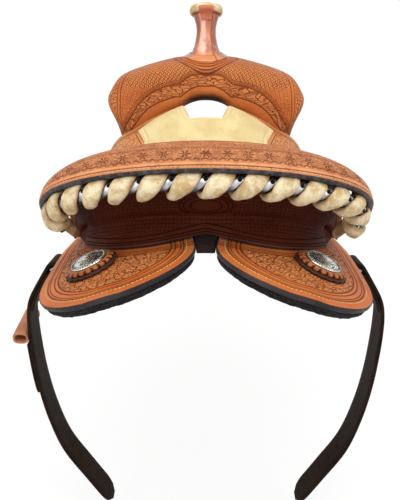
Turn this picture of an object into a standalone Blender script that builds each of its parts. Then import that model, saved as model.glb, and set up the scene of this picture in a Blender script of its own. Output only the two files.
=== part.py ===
# Barrel racing saddle, built up as a saddler builds it: tree, skirts, ground seat,
# seat, swell cover, horn, and a Cheyenne roll whose edge is laced with rawhide.
# Metres. +X is the off (right) side, +Y is towards the horse's head, +Z is up.
# The origin lies on the middle plane at the height where the horse's back carries it.
import math

import bpy
import bmesh
import numpy as np

# Leather and clearances
GAP = 0.0003
LAYER_GAP = 0.0006
BAR_GAP = 0.0010
SKIRT_LEATHER = 0.006
SEAT_LEATHER = 0.0035
COVER_LEATHER = 0.0035
ROLL_LEATHER = 0.0055
FLEECE_THICKNESS = 0.0075
FLEECE_INSET = 0.0015

# The back that the saddle sits on: place along the back, ridge height, spread of the arch
BACK_LINE = [(-0.300, 0.104, 1.76), (-0.100, 0.090, 1.76), (0.000, 0.082, 2.10),
             (0.100, 0.078, 2.60), (0.320, 0.082, 2.90)]

# Round skirts
SKIRT_REAR = -0.292
SKIRT_FRONT = 0.318
SKIRT_HALF_WIDTH = 0.190
SKIRT_REAR_TURN = -0.168
SKIRT_FRONT_TURN = 0.190
SKIRT_REAR_APEX = 0.098
SKIRT_FRONT_APEX = 0.112
SKIRT_NOTCH = -0.205
NOTCH_HALF_WIDTH = 0.011
CHANNEL_HALF_WIDTH = 0.024
GULLET_HALF_WIDTH = 0.046

# Tree bars
BAR_REAR = -0.150
BAR_FRONT = 0.280
BAR_INNER = 0.028
BAR_PAD_OUTER = 0.130
BAR_WAIST_OUTER = 0.116
BAR_THICKNESS = 0.013
BAR_EDGE_THICKNESS = 0.005
STIRRUP_SLOT_LENGTH = 0.080
STIRRUP_SLOT_WIDTH = 0.020
STIRRUP_SLOT_CENTRE = (0.088, 0.045)

# Fork and swell: share along the arch, inner x and z, outer x and z
FORK_ARCH = [(0.00, 0.000, 0.170, 0.000, 0.232), (0.22, 0.037, 0.163, 0.060, 0.224),
             (0.42, 0.060, 0.143, 0.108, 0.211), (0.58, 0.074, 0.120, 0.141, 0.197),
             (0.70, 0.081, 0.103, 0.156, 0.178), (0.80, 0.086, 0.090, 0.161, 0.160),
             (0.90, 0.091, 0.078, 0.146, 0.122), (1.00, 0.094, 0.064, 0.126, 0.040)]
FORK_MIDDLE = 0.214
FORK_HALF_DEPTH = 0.050
FORK_TAPER = 0.005
FORK_LEAN = 0.004
FORK_SQUARENESS = 3.4
COVER_FOOT = 0.93
LINING_FOOT = 0.80
COVER_WRAP = math.radians(48)
LINING_WRAP = math.radians(44)

# Horn
HORN_BASE = (0.0, 0.218, 0.226)
HORN_TILT = math.radians(20)
HORN_NECK_RADIUS = 0.0155
HORN_BASE_RADIUS = 0.024
HORN_TOP_RADIUS = 0.020
HORN_HEIGHT = 0.0675
HORN_POST_RADIUS = 0.008
HORN_POST_DEPTH = 0.030
CAP_HALF_WIDTH = 0.0265
CAP_HALF_LENGTH = 0.030
CAP_THICKNESS = 0.013
CAP_RIM = 0.005

# Seat: place along the seat, crown height, shoulder half width and height, edge half width,
# and how far the edge stands off the skirt for the stirrup leather to pass
SEAT_LINE = [(-0.085, 0.1175, 0.110, 0.092, 0.170, 0.014), (-0.040, 0.1150, 0.108, 0.090, 0.171, 0.012),
             (0.010, 0.1215, 0.106, 0.093, 0.171, 0.014), (0.060, 0.1370, 0.106, 0.108, 0.170, 0.026),
             (0.110, 0.1550, 0.107, 0.124, 0.168, 0.046), (0.155, 0.1690, 0.109, 0.131, 0.166, 0.058)]
SEAT_EDGE_DROP = 35.0
SEAT_RAILS = [0.00, 0.10, 0.20, 0.32, 0.46, 0.60, 0.74, 0.88, 1.00]
SHARES = [0, 1 / 12, 1 / 8] + [k / 12 for k in range(2, 13)]
RUNS = [0, 0.05, 0.10, 0.16, 0.22, 0.30, 0.40, 0.50, 0.60, 0.70, 0.80, 0.90, 1.0]
SEAT_NOTCH_FROM = 0.50
HANDHOLE_HALF_WIDTH = 0.036
HANDHOLE_NOTCH = 0.13
GROUND_THICKNESS = 0.007
GROUND_FOOT = (0.041, 0.074)
INLAY_THICKNESS = 0.008
INLAY_EDGE = 0.0025

# Cantle: rim of the roll as an arc (half width, centre height, rise, place, sweep)
RIM_FRONT = (0.182, 0.120, 0.083, -0.168, 0.042)
RIM_REAR = (0.187, 0.118, 0.0695, -0.213, 0.058)
RIM_POWER = 0.9
ROLL_END = math.radians(96)
ROLL_LIP_FORWARD = 0.008
ROLL_LIP_DROP = 0.009
ROLL_CROWN = 0.004
CANTLE_GAP = 0.0012

# Laced binding under the roll's edge
BINDING_ARC = (0.1705, 0.1092, 0.059, -0.203, 0.044)
BINDING_END = math.radians(106)
BINDING_CORE_RADIUS = 0.0065
LACE_CLEARANCE = 0.0009
LACE_TURNS = 15
LACE_POINTS = 18
LACE_SIDES = 6
LACE_THICKNESS = 0.0064
LACE_WIDTH_OUTSIDE = 0.0195
LACE_WIDTH_INSIDE = 0.008
SILVER_POINTS = 9
SILVER_SIDES = 4
SILVER_THICKNESS = 0.0016
SILVER_WIDTH_OUTSIDE = 0.0045
SILVER_WIDTH_INSIDE = 0.0015

# Conchos on the rear skirts
CONCHO_PLACE = (0.1245, -0.202)
ROSETTE_RADIUS = 0.030
ROSETTE_LOBES = 14
ROSETTE_LOBE_DEPTH = 0.0012
ROSETTE_PLY = 0.0035
CONCHO_RADIUS = 0.0205
CONCHO_RISE = 0.0045
CONCHO_EDGE = 0.0018

# Rigging plates and flank billets
REAR_PLATE_PLACE = -0.065
FRONT_PLATE_PLACE = 0.150
PLATE_PLACES = [("rear", REAR_PLATE_PLACE), ("front", FRONT_PLATE_PLACE)]
PLATE_TOUCH = 0.180
PLATE_CLEARANCE = 0.0016
PLATE_LENGTH = 0.066
PLATE_THICKNESS = 0.003
PLATE_INNER = -0.012
PLATE_OUTER = 0.0355
PLATE_SLOT_LENGTH = 0.052
PLATE_SLOT_WIDTH = 0.010
PLATE_BAR = 0.006
RIVET_RADIUS = 0.0032
RIVET_PLACES = [(-0.004, -0.018), (-0.004, 0.018)]
BILLET_WIDTH = 0.044
BILLET_LEATHER = 0.0045
BILLET_TAIL = 0.060
BILLET_LOOP_RADIUS = 0.0062
STRAP_LEVEL_BELOW = 0.080
BILLET_LINE = [(0.2142, -0.0045), (0.2187, -0.0116), (0.2266, -0.0239), (0.2359, -0.0395),
               (0.2419, -0.0560), (0.2455, -0.0820), (0.2467, -0.1250), (0.2445, -0.1900),
               (0.2365, -0.2550), (0.2205, -0.3200), (0.1900, -0.3820), (0.1560, -0.4470)]

# Keeper loop and safe on the near billet
KEEPER_HEIGHT = -0.106
KEEPER_LENGTH = 0.066
KEEPER_HALF_WIDTH = 0.0110
KEEPER_HALF_HEIGHT = 0.0088
KEEPER_WALL = 0.0027
SAFE_BOTTOM = -0.218
SAFE_LEATHER = 0.004
SAFE_WIDTH = 0.040

# Small jockeys before the fork
JOCKEY_OFF_BAR = 0.006
JOCKEY_WIDTH = 0.030
JOCKEY_REAR = 0.160
JOCKEY_FRONT = 0.298

COLOURS = {
    "wood": (0.72, 0.55, 0.33), "rawhide": (0.85, 0.70, 0.44), "tooled": (0.50, 0.16, 0.055),
    "dark": (0.075, 0.035, 0.022), "back": (0.13, 0.03, 0.015), "suede": (0.87, 0.70, 0.42),
    "fleece": (0.055, 0.05, 0.048), "steel": (0.62, 0.61, 0.58), "silver": (0.55, 0.55, 0.53),
    "ground": (0.52, 0.33, 0.18)}
SHINE = {"steel": (0.35, 1.0), "silver": (0.32, 1.0), "fleece": (0.95, 0.0), "suede": (0.9, 0.0)}


# Helpers for curves and surfaces

def through(stations, at):
    # A smooth line through stations whose first entry is the place along it
    last = len(stations) - 1
    low = 0
    while low < last - 1 and at > stations[low + 1][0]:
        low += 1
    keys = [s[0] for s in stations]

    def slope(i):
        before = max(i - 1, 0)
        after = min(i + 1, last)
        span = keys[after] - keys[before]
        return [(b - a) / span for a, b in zip(stations[before][1:], stations[after][1:])]

    span = keys[low + 1] - keys[low]
    t = (at - keys[low]) / span
    h = (2 * t**3 - 3 * t**2 + 1, t**3 - 2 * t**2 + t, -2 * t**3 + 3 * t**2, t**3 - t**2)
    rows = zip(stations[low][1:], slope(low), stations[low + 1][1:], slope(low + 1))
    return [h[0] * a + h[1] * span * m + h[2] * b + h[3] * span * n for a, m, b, n in rows]


def ease(value):
    t = min(max(value, 0.0), 1.0)
    return t * t * (3 - 2 * t)


def back_height(x, y):
    ridge, spread = through(BACK_LINE, y)
    return ridge - spread * x * x


def on_back(x, y, lift):
    # A point lifted square off the surface that the skirts' leather makes
    step = 0.001
    dx = (back_height(x + step, y) - back_height(x - step, y)) / (2 * step)
    dy = (back_height(x, y + step) - back_height(x, y - step)) / (2 * step)
    normal = np.array([-dx, -dy, 1.0]) / math.sqrt(dx * dx + dy * dy + 1)
    return np.array([x, y, back_height(x, y)]) + lift * normal


def offset_grid(grid, distance):
    # Moves each point of a grid along the grid's own normal
    grid = np.asarray(grid)
    along = np.gradient(grid, axis=0)
    across = np.gradient(grid, axis=1)
    normal = np.cross(along, across)
    length = np.linalg.norm(normal, axis=2, keepdims=True)
    return grid + distance * normal / np.maximum(length, 1e-12)


def mirrored(grid):
    # Adds the left half to a grid whose first row lies on the middle plane
    grid = np.asarray(grid)
    left = grid[1:][::-1] * np.array([-1.0, 1.0, 1.0])
    return np.concatenate([left, grid])


# Helpers for meshes

def finish(name, verts, faces, colour, smooth=True):
    mesh = bpy.data.meshes.new(name)
    mesh.from_pydata([tuple(map(float, v)) for v in verts], [], faces)
    bm = bmesh.new()
    bm.from_mesh(mesh)
    bmesh.ops.triangulate(bm, faces=bm.faces, quad_method="FIXED")
    bmesh.ops.recalc_face_normals(bm, faces=bm.faces)
    bm.to_mesh(mesh)
    bm.free()
    if smooth:
        mesh.shade_smooth()
        mesh.set_sharp_from_angle(angle=math.radians(40))
    obj = bpy.data.objects.new(name, mesh)
    bpy.context.scene.collection.objects.link(obj)
    mesh.materials.append(material(name, colour))
    return obj


def material(name, colour):
    made = bpy.data.materials.new(name)
    made.use_nodes = True
    shader = made.node_tree.nodes["Principled BSDF"]
    rough, metal = SHINE.get(colour, (0.5, 0.0))
    shader.inputs["Base Color"].default_value = (*COLOURS[colour], 1.0)
    shader.inputs["Roughness"].default_value = rough
    shader.inputs["Metallic"].default_value = metal
    return made


def slab(name, top, bottom, colour, ring=False):
    # A closed sheet between two grids; ring closes the grid's first direction on itself
    top = np.asarray(top)
    bottom = np.asarray(bottom)
    rows, cols = top.shape[:2]
    verts = list(top.reshape(-1, 3)) + list(bottom.reshape(-1, 3))
    low = rows * cols
    faces = []
    spans = rows if ring else rows - 1
    for i in range(spans):
        j2 = (i + 1) % rows
        for k in range(cols - 1):
            a, b, c, d = i * cols + k, j2 * cols + k, j2 * cols + k + 1, i * cols + k + 1
            faces.append((a, b, c, d))
            faces.append((low + a, low + d, low + c, low + b))
        for k in (0, cols - 1):
            a, b = i * cols + k, j2 * cols + k
            faces.append((b, a, low + a, low + b) if k == 0 else (a, b, low + b, low + a))
    if not ring:
        for i in (0, rows - 1):
            for k in range(cols - 1):
                a, b = i * cols + k, i * cols + k + 1
                faces.append((a, b, low + b, low + a) if i == 0 else (b, a, low + a, low + b))
    return finish(name, verts, faces, colour)


def loft(name, rings, colour, closed=False, smooth=True):
    # Skins a run of equal rings, capped at both ends unless the run closes on itself
    count = len(rings[0])
    verts = [p for ring in rings for p in ring]
    faces = []
    spans = len(rings) if closed else len(rings) - 1
    for i in range(spans):
        j = (i + 1) % len(rings)
        for k in range(count):
            n = (k + 1) % count
            faces.append((i * count + k, i * count + n, j * count + n, j * count + k))
    if not closed:
        faces.append(tuple(range(count))[::-1])
        faces.append(tuple((len(rings) - 1) * count + k for k in range(count)))
    return finish(name, verts, faces, colour, smooth)


def turned(name, profile, colour, centre, tilt=0.0, sides=28, stretch=(1.0, 1.0)):
    # A closed profile of (radius, height) turned about an axis that leans forward by tilt
    rings = []
    for k in range(sides):
        turn = 2 * math.pi * k / sides
        ring = []
        for radius, height in profile:
            x = radius * stretch[0] * math.cos(turn)
            y = radius * stretch[1] * math.sin(turn)
            ring.append(leaned(centre, tilt, x, y, height))
        rings.append(ring)
    return loft(name, rings, colour, closed=True)


def disc(name, profile, colour, centre, tilt=0.0, sides=28, stretch=(1.0, 1.0)):
    # A turned solid: the profile runs from the bottom to the top, both ends capped
    rings = []
    for radius, height in profile:
        turns = [2 * math.pi * k / sides for k in range(sides)]
        rings.append([leaned(centre, tilt, radius * stretch[0] * math.cos(t),
                             radius * stretch[1] * math.sin(t), height) for t in turns])
    return loft(name, rings, colour)


def leaned(centre, tilt, x, y, z):
    return np.array([centre[0] + x, centre[1] + y * math.cos(tilt) + z * math.sin(tilt),
                     centre[2] - y * math.sin(tilt) + z * math.cos(tilt)])


def cut(target, cutter):
    cutter.hide_render = True
    cutter.display_type = "WIRE"
    tool = target.modifiers.new("cut_" + cutter.name, "BOOLEAN")
    tool.operation = "DIFFERENCE"
    tool.solver = "EXACT"
    tool.object = cutter


def both_sides(build):
    # Calls build(side name, sign) for the off and the near side
    for side, sign in (("right", 1.0), ("left", -1.0)):
        build(side, np.array([sign, 1.0, 1.0]))


# Skirts, fleece and bars

def quarter(share, near, far, power):
    # An edge that runs from near to far along a rounded corner as share goes 0 to 1
    return near + (far - near) * (1 - (1 - min(share, 1.0) ** power) ** (1 / power))


def skirt_edges(y):
    inner = NOTCH_HALF_WIDTH
    inner += (CHANNEL_HALF_WIDTH - NOTCH_HALF_WIDTH) * ease((y - SKIRT_NOTCH) / 0.09)
    inner += (GULLET_HALF_WIDTH - CHANNEL_HALF_WIDTH) * ease((y - 0.12) / 0.12)
    outer = SKIRT_HALF_WIDTH
    if y < SKIRT_NOTCH:
        share = (SKIRT_NOTCH - y) / (SKIRT_NOTCH - SKIRT_REAR)
        inner = quarter(share, NOTCH_HALF_WIDTH, SKIRT_REAR_APEX, 1.8)
    if y < SKIRT_REAR_TURN:
        share = (SKIRT_REAR_TURN - y) / (SKIRT_REAR_TURN - SKIRT_REAR)
        outer = quarter(share, SKIRT_HALF_WIDTH, SKIRT_REAR_APEX, 2.1)
    if y > SKIRT_FRONT_TURN:
        share = (y - SKIRT_FRONT_TURN) / (SKIRT_FRONT - SKIRT_FRONT_TURN)
        inner = quarter(share, GULLET_HALF_WIDTH, SKIRT_FRONT_APEX, 2.0)
        outer = quarter(share, SKIRT_HALF_WIDTH, SKIRT_FRONT_APEX, 2.1)
    return inner, outer


def skirt_grid(lift, inset, across, along):
    # Rows crowd towards both rounded ends, where the outline turns
    grid = []
    for i in range(across + 1):
        row = []
        for k in range(along + 1):
            swing = (1 - math.cos(math.pi * k / along)) / 2
            swing = 0.004 + 0.992 * swing
            y = SKIRT_REAR + (SKIRT_FRONT - SKIRT_REAR) * swing
            inner, outer = skirt_edges(y)
            middle = (inner + outer) / 2
            half = (outer - inner) / 2
            half = max(half - inset, half * 0.7)
            x = middle + half * (2 * i / across - 1)
            row.append(on_back(x, y, lift))
        grid.append(row)
    return np.array(grid)


def skirts():
    top = skirt_grid(0.0, 0.0, 7, 18)
    bottom = skirt_grid(-SKIRT_LEATHER, 0.0, 7, 18)
    wool_top = skirt_grid(-SKIRT_LEATHER - GAP, FLEECE_INSET, 7, 18)
    wool_bottom = skirt_grid(-SKIRT_LEATHER - GAP - FLEECE_THICKNESS, FLEECE_INSET, 7, 18)

    def build(side, flip):
        slab("skirt_" + side, top * flip, bottom * flip, "tooled")
        wool = slab("fleece_" + side, wool_top * flip, wool_bottom * flip, "fleece")
        for end, y in PLATE_PLACES:
            place = plate_place(y, flip)
            reach = PLATE_LENGTH / 2 + 2 * GAP
            corners = [(PLATE_INNER - 2 * GAP, -reach), (PLATE_INNER - 2 * GAP, reach),
                       (PLATE_OUTER, reach), (PLATE_OUTER, -reach)]
            floor = -PLATE_THICKNESS - 2 * GAP
            cut(wool, loft("pocket_%s_%s" % (end, side),
                           [[place(t, s, h) for t, s in corners] for h in (floor, 0.004)], "fleece"))

    both_sides(build)


def bar_lift(x, y):
    # Height of a bar's top over the skirts, feathered to the rear tip and the outer edge
    share = min(max((abs(x) - BAR_INNER) / (BAR_PAD_OUTER - BAR_INNER), 0.0), 1.0)
    thick = BAR_THICKNESS - (BAR_THICKNESS - BAR_EDGE_THICKNESS) * share**2
    return BAR_GAP + thick * (0.45 + 0.55 * ease((y - BAR_REAR) / 0.05))


def bar_outer(y):
    waist = math.exp(-((y - 0.02) / 0.09) ** 2)
    return BAR_PAD_OUTER - (BAR_PAD_OUTER - BAR_WAIST_OUTER) * waist


def bars():
    across, along = 5, 12
    top, bottom = [], []
    for i in range(across + 1):
        upper, lower = [], []
        for k in range(along + 1):
            y = BAR_REAR + (BAR_FRONT - BAR_REAR) * k / along
            tip = max(y - (BAR_FRONT - 0.05), 0.0) / 0.05
            inner = BAR_INNER + (GULLET_HALF_WIDTH + 0.006 - BAR_INNER) * ease((y - 0.10) / 0.12)
            outer = bar_outer(y) - 0.030 * tip**2 - 0.020 * ease((BAR_REAR + 0.06 - y) / 0.06)
            x = inner + (outer - inner) * i / across
            upper.append(on_back(x, y, bar_lift(x, y)))
            lower.append(on_back(x, y, BAR_GAP))
        top.append(upper)
        bottom.append(lower)

    def build(side, flip):
        bar = slab("tree_bar_" + side, np.array(top) * flip, np.array(bottom) * flip, "wood")
        x, y = STIRRUP_SLOT_CENTRE
        hole = box("stirrup_slot_cutter_" + side, (x * flip[0], y, back_height(x, y)),
                   (STIRRUP_SLOT_WIDTH, STIRRUP_SLOT_LENGTH, 0.09), "wood")
        cut(bar, hole)

    both_sides(build)


def box(name, centre, size, colour):
    half = np.array(size) / 2
    corners = [(-1, -1), (1, -1), (1, 1), (-1, 1)]
    rings = [[np.array(centre) + half * np.array([a, b, c]) for a, b in corners] for c in (-1, 1)]
    return loft(name, rings, colour, smooth=False)


# Fork, swell cover and gullet lining

def fork_point(share, turn, grow):
    # share runs along the arch from the middle to a foot, turn round its section
    ix, iz, ox, oz = through(FORK_ARCH, share)
    inner = np.array([ix, iz])
    outer = np.array([ox, oz])
    reach = np.linalg.norm(outer - inner)
    inner, outer = inner - grow * (outer - inner) / reach, outer + grow * (outer - inner) / reach
    power = 2 / FORK_SQUARENESS
    depth = math.copysign(abs(math.cos(turn)) ** power, math.cos(turn))
    height = math.copysign(abs(math.sin(turn)) ** power, math.sin(turn))
    place = inner + (outer - inner) * (height + 1) / 2
    half = FORK_HALF_DEPTH - FORK_TAPER * height + grow
    return np.array([place[0], FORK_MIDDLE + FORK_LEAN * height + half * depth, place[1]])


def fork_rings(grow, shares, turns, seat_on_bars=False):
    rings = []
    for share in shares:
        ring = [fork_point(share, t, grow) for t in turns]
        if seat_on_bars and share == shares[-1]:
            for p in ring:
                p[2] = on_bar(p[0], p[1]) + 0.0008
        rings.append(ring)
    return mirrored(rings)


def on_bar(x, y):
    # Height of the bars' top face straight above a point of the plan, plus the clearance
    slope = (back_height(x + 0.001, y) - back_height(x - 0.001, y)) / 0.002
    thick = bar_lift(x, y) * math.sqrt(1 + slope * slope)
    return back_height(x, y) + thick + 2 * LAYER_GAP


def fork_layout():
    # Turns round the section under the cover and under the lining, and shares along the arch
    span = math.pi + 2 * COVER_WRAP
    wrap = [-COVER_WRAP + span * k / 13 for k in range(14)]
    under = [1.5 * math.pi + LINING_WRAP * (k / 2 - 1) * 0.86 for k in range(5)]
    shares = [COVER_FOOT * k / 10 for k in range(11)]
    return wrap, under, shares


def fork():
    wrap, under, shares = fork_layout()
    core = loft("tree_fork", fork_rings(-COVER_LEATHER - GAP, shares + [1.0], wrap + under, True), "wood")
    cover = slab("swell_cover", fork_rings(0.0, shares, wrap),
                 fork_rings(-COVER_LEATHER, shares, wrap), "tooled")
    short = [s for s in shares if s < LINING_FOOT]
    slab("gullet_lining", fork_rings(0.0, short, under), fork_rings(-COVER_LEATHER, short, under), "dark")
    for part, clearance in ((cover, 0.0006), (core, 0.0003)):
        radius = HORN_POST_RADIUS + clearance
        bore = disc("bore_" + part.name, [(radius, -HORN_POST_DEPTH - GAP), (radius, 0.05)],
                    "wood", HORN_BASE, HORN_TILT, 20)
        cut(part, bore)


# Horn

def horn():
    top = HORN_HEIGHT
    disc("horn_post", [(HORN_POST_RADIUS, -HORN_POST_DEPTH), (HORN_POST_RADIUS, top + 0.006)],
         "steel", HORN_BASE, HORN_TILT, 20)
    bore = HORN_POST_RADIUS + GAP
    profile = [(bore, -0.015), (HORN_BASE_RADIUS + 0.012, -0.015), (HORN_BASE_RADIUS + 0.006, -0.004),
               (HORN_BASE_RADIUS, 0.004), (HORN_BASE_RADIUS - 0.003, 0.014),
               (HORN_NECK_RADIUS + 0.002, 0.027), (HORN_NECK_RADIUS, 0.042),
               (HORN_NECK_RADIUS + 0.0015, 0.054), (HORN_TOP_RADIUS, top), (bore, top)]
    neck = turned("horn_wrap", profile, "tooled", HORN_BASE, HORN_TILT, 20)
    wrap, under, shares = fork_layout()
    cut(neck, loft("horn_seat_cutter", fork_rings(GAP, shares[:6], wrap + under), "wood"))
    low = top + GAP
    stretch = (1.0, CAP_HALF_LENGTH / CAP_HALF_WIDTH)
    inside = CAP_HALF_WIDTH - CAP_RIM
    bore = HORN_POST_RADIUS + GAP
    disc("horn_cap", [(inside - 0.0015, low + 0.0062), (inside, low + 0.0075),
                      (inside, low + CAP_THICKNESS - 0.0015), (inside - 0.004, low + CAP_THICKNESS),
                      (0.004, low + CAP_THICKNESS + 0.0012)], "tooled", HORN_BASE, HORN_TILT, 24, stretch)
    turned("horn_cap_base", [(bore, low), (inside - 0.0015, low), (inside - 0.0003, low + 0.002),
                             (inside - 0.0003, low + 0.0055), (bore, low + 0.0055)],
           "wood", HORN_BASE, HORN_TILT, 24, stretch)
    ring_in = inside + GAP
    turned("horn_cap_rim", [(ring_in, low + 0.001), (CAP_HALF_WIDTH - 0.0015, low + 0.001),
                            (CAP_HALF_WIDTH, low + 0.004), (CAP_HALF_WIDTH, low + 0.009),
                            (CAP_HALF_WIDTH - 0.0015, low + CAP_THICKNESS - 0.001),
                            (ring_in, low + CAP_THICKNESS - 0.0005)],
           "rawhide", HORN_BASE, HORN_TILT, 24, stretch)


# Cantle rim curves

def arc_point(arc, turn, power=RIM_POWER):
    half, centre, rise, place, sweep = arc
    up = math.copysign(abs(math.cos(turn)) ** power, math.cos(turn))
    return np.array([half * math.sin(turn), place + sweep * (1 - math.cos(turn)), centre + rise * up])


def radial(turn):
    return np.array([math.sin(turn), 0.0, math.cos(turn)])


def rim_at(turn, back, drop):
    # A point behind the rim's front edge by back, and drop below it towards the arch's middle
    return arc_point(RIM_FRONT, turn) + np.array([0, -back, 0]) - drop * radial(turn)


# Seat

def seat_rail(index, share):
    # One of the lines across the seat, from the crown (share 0) to the edge (share 1)
    turn = ROLL_END * share
    if index == 0:
        return rim_at(turn, -ROLL_LIP_FORWARD, ROLL_LIP_DROP + 0.0068 + 0.003 * math.sin(turn))
    if index == 1:
        return np.array([0.165 * math.sin(turn), -0.150 + 0.036 * (1 - math.cos(turn)),
                         0.166 - 0.066 * (1 - math.cos(turn))])
    if index == 2:
        return np.array([0.169 * math.sin(turn), -0.122 + 0.028 * (1 - math.cos(turn)),
                         0.132 - 0.072 * (1 - math.cos(turn)) ** 1.15])
    y, crown, shoulder, foot, edge, stand = SEAT_LINE[index - 3]
    x = edge * math.sin(share * math.pi / 2)
    if x <= shoulder:
        return np.array([x, y, crown - (crown - foot) * (x / shoulder) ** 1.9])
    lie = back_height(edge, y) + (SEAT_LEATHER + LAYER_GAP) * 1.3 + stand
    span = edge - shoulder
    start = -1.9 * (crown - foot) / shoulder
    end = (back_height(edge + 0.001, y) - back_height(edge - 0.001, y)) / 0.002
    end -= SEAT_EDGE_DROP * stand
    t = (x - shoulder) / span
    height = ((2 * t**3 - 3 * t**2 + 1) * foot + (t**3 - 2 * t**2 + t) * span * start
              + (3 * t**2 - 2 * t**3) * lie + (t**3 - t**2) * span * end)
    return np.array([x, y, height])


def seat_point(share, run):
    rails = [(key, *seat_rail(k, share)) for k, key in enumerate(SEAT_RAILS)]
    return np.array(through(rails, run))


def seat_front(share):
    # Where the seat ends at the fork: full length, but for the notch of the hand hole
    x = seat_rail(len(SEAT_RAILS) - 1, share)[0]
    return 1.0 - HANDHOLE_NOTCH * (1 - ease((x / HANDHOLE_HALF_WIDTH - 0.55) / 0.45))


def seat_run(share, run):
    # Draws the front half of a line across the seat back to the notch of the hand hole
    if run < SEAT_NOTCH_FROM:
        return run
    stay = (seat_front(share) - SEAT_NOTCH_FROM) / (1 - SEAT_NOTCH_FROM)
    return SEAT_NOTCH_FROM + (run - SEAT_NOTCH_FROM) * stay


def skin(surface, u, v, depth):
    # A point set off from a surface that is mirrored about its first coordinate's zero
    def at(u, v):
        return surface(abs(u), v) * np.array([math.copysign(1, u), 1, 1])

    step = 0.004
    ahead, behind = min(v + step, 1.0), max(v - step, 0.0)
    normal = np.cross(at(min(u + step, 1.0), v) - at(u - step, v), at(u, ahead) - at(u, behind))
    return at(u, v) + depth * normal / np.linalg.norm(normal)


def seat_grid(shares, runs, depth):
    grid = [[skin(seat_point, s, seat_run(s, r), depth) for r in runs] for s in shares]
    return mirrored(grid)


def seat():
    slab("seat_leather", seat_grid(SHARES, RUNS, 0.0), seat_grid(SHARES, RUNS, -SEAT_LEATHER), "tooled")
    inner = [s for s in SHARES if s < 0.55]
    ground = [r for r in RUNS if r > 0.28]
    low = -SEAT_LEATHER - GAP
    under = seat_grid(inner, ground, low - GROUND_THICKNESS)
    for row in under:
        for p in row:
            if GROUND_FOOT[0] < abs(p[0]) < GROUND_FOOT[1]:
                p[2] = min(p[2], on_bar(abs(p[0]), p[1]))
    slab("ground_seat", seat_grid(inner, ground, low), under, "ground")
    inlay()


def inlay():
    shares = [s for s in SHARES if s < 0.48]
    runs = [r for r in RUNS if r > 0.04]
    runs[-1] = 0.985
    low = seat_grid(shares, runs, GAP)
    flat = seat_grid(shares, runs, GAP + INLAY_EDGE)
    high = seat_grid(shares, runs, GAP + INLAY_THICKNESS)
    across = np.array(shares[:0:-1] + shares) / shares[-1]
    along = np.array(runs)
    crown_across = 1 - across**4
    crown_along = np.minimum(1.0, np.minimum(along - runs[0], runs[-1] - along) / 0.12) ** 0.6
    crown = (crown_across[:, None] * crown_along[None, :])[..., None]
    slab("seat_inlay", flat + (high - flat) * crown, low, "suede")


# Cantle

def back_rail(index, turn):
    # Lines across the back of the cantle, from under the roll down to the flare on the skirts
    sin, cos = math.sin(turn), math.cos(turn)
    if index == 0:
        return rim_at(turn, 0.020, 0.026)
    if index == 1:
        return np.array([0.150 * sin, -0.178 + 0.058 * (1 - cos), 0.130 - 0.045 * (1 - cos)])
    if index == 2:
        x, y = 0.144 * sin, -0.173 + 0.062 * (1 - cos)
        return np.array([x, y, back_height(x, y) + 0.024])
    x = 0.147 * sin
    y = -0.178 + 0.060 * (1 - cos) - 0.022 * math.sin(math.pi * min(abs(x) / 0.140, 1.0))
    return on_back(x, y, COVER_LEATHER + LAYER_GAP)


def back_point(share, run):
    keys = [0.0, 0.42, 0.74, 1.0]
    rails = [(key, *back_rail(k, ROLL_END * share)) for k, key in enumerate(keys)]
    return np.array(through(rails, run))


def back_grid(shares, runs, depth):
    return mirrored([[skin(back_point, s, r, depth) for r in runs] for s in shares])


def roll_grid(turns):
    grid = []
    for turn in turns:
        out = radial(turn)
        crest = arc_point(RIM_FRONT, turn)
        rear = arc_point(RIM_REAR, turn)
        lip = crest + np.array([0, ROLL_LIP_FORWARD, 0]) - ROLL_LIP_DROP * out
        line = [(0.0, *rear), (0.34, *(rear + 0.34 * (crest - rear) + 0.85 * ROLL_CROWN * out)),
                (0.7, *(rear + 0.7 * (crest - rear) + ROLL_CROWN * out)), (1.0, *crest),
                (1.25, *lip)]
        grid.append([np.array(through(line, k)) for k in (0, 0.26, 0.52, 0.78, 1.0, 1.25)])
    return np.array(grid)


def cantle():
    shares = [k / 12 for k in range(8)]
    front = seat_grid(shares, [0.05, 0.10, 0.16, 0.22], -SEAT_LEATHER - CANTLE_GAP)
    back = back_grid(shares, [k / 6 for k in range(6)], COVER_LEATHER + CANTLE_GAP)
    rings = []
    for row, share in enumerate([-s for s in shares[:0:-1]] + shares):
        turn = ROLL_END * abs(share)
        flip = np.array([math.copysign(1, share), 1, 1])
        top = [rim_at(turn, 0.007, ROLL_LEATHER + 0.006) * flip,
               rim_at(turn, 0.017, ROLL_LEATHER + 0.008) * flip]
        ring = list(front[row][::-1]) + top + list(back[row])
        for p in (back[row][-1], front[row][-1]):
            rest = on_bar(max(abs(p[0]), BAR_INNER), p[1]) + 0.0004
            ring.append(np.array([p[0], p[1], min(rest, p[2] - 0.002)]))
        rings.append(ring)
    loft("tree_cantle", rings, "wood")
    edges = [ROLL_END * k / 14 for k in range(15)]
    whole = [-t for t in edges[:0:-1]] + edges
    top = roll_grid(whole)
    slab("cantle_roll", top, offset_grid(top, -ROLL_LEATHER), "tooled")
    runs = [k / 6 for k in range(7)]
    spread = [k / 12 for k in range(12)]
    slab("cantle_back", back_grid(spread, runs, 0.0), back_grid(spread, runs, COVER_LEATHER), "back")


# Laced binding

def binding_frames():
    # Evenly spaced places along the binding's arc, each with its tangent and two normals
    turns = np.linspace(-BINDING_END, BINDING_END, 721)
    flips = np.where(turns < 0, -1.0, 1.0)
    line = np.array([arc_point(BINDING_ARC, abs(t)) for t in turns])
    line[:, 0] *= flips
    tangent = np.gradient(line, axis=0)
    steps = np.linalg.norm(np.diff(line, axis=0), axis=1)
    length = np.concatenate([[0.0], np.cumsum(steps)])
    return line, tangent, length, np.array([np.array([math.sin(t), 0, math.cos(t)]) for t in turns])


BINDING = binding_frames()


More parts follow.
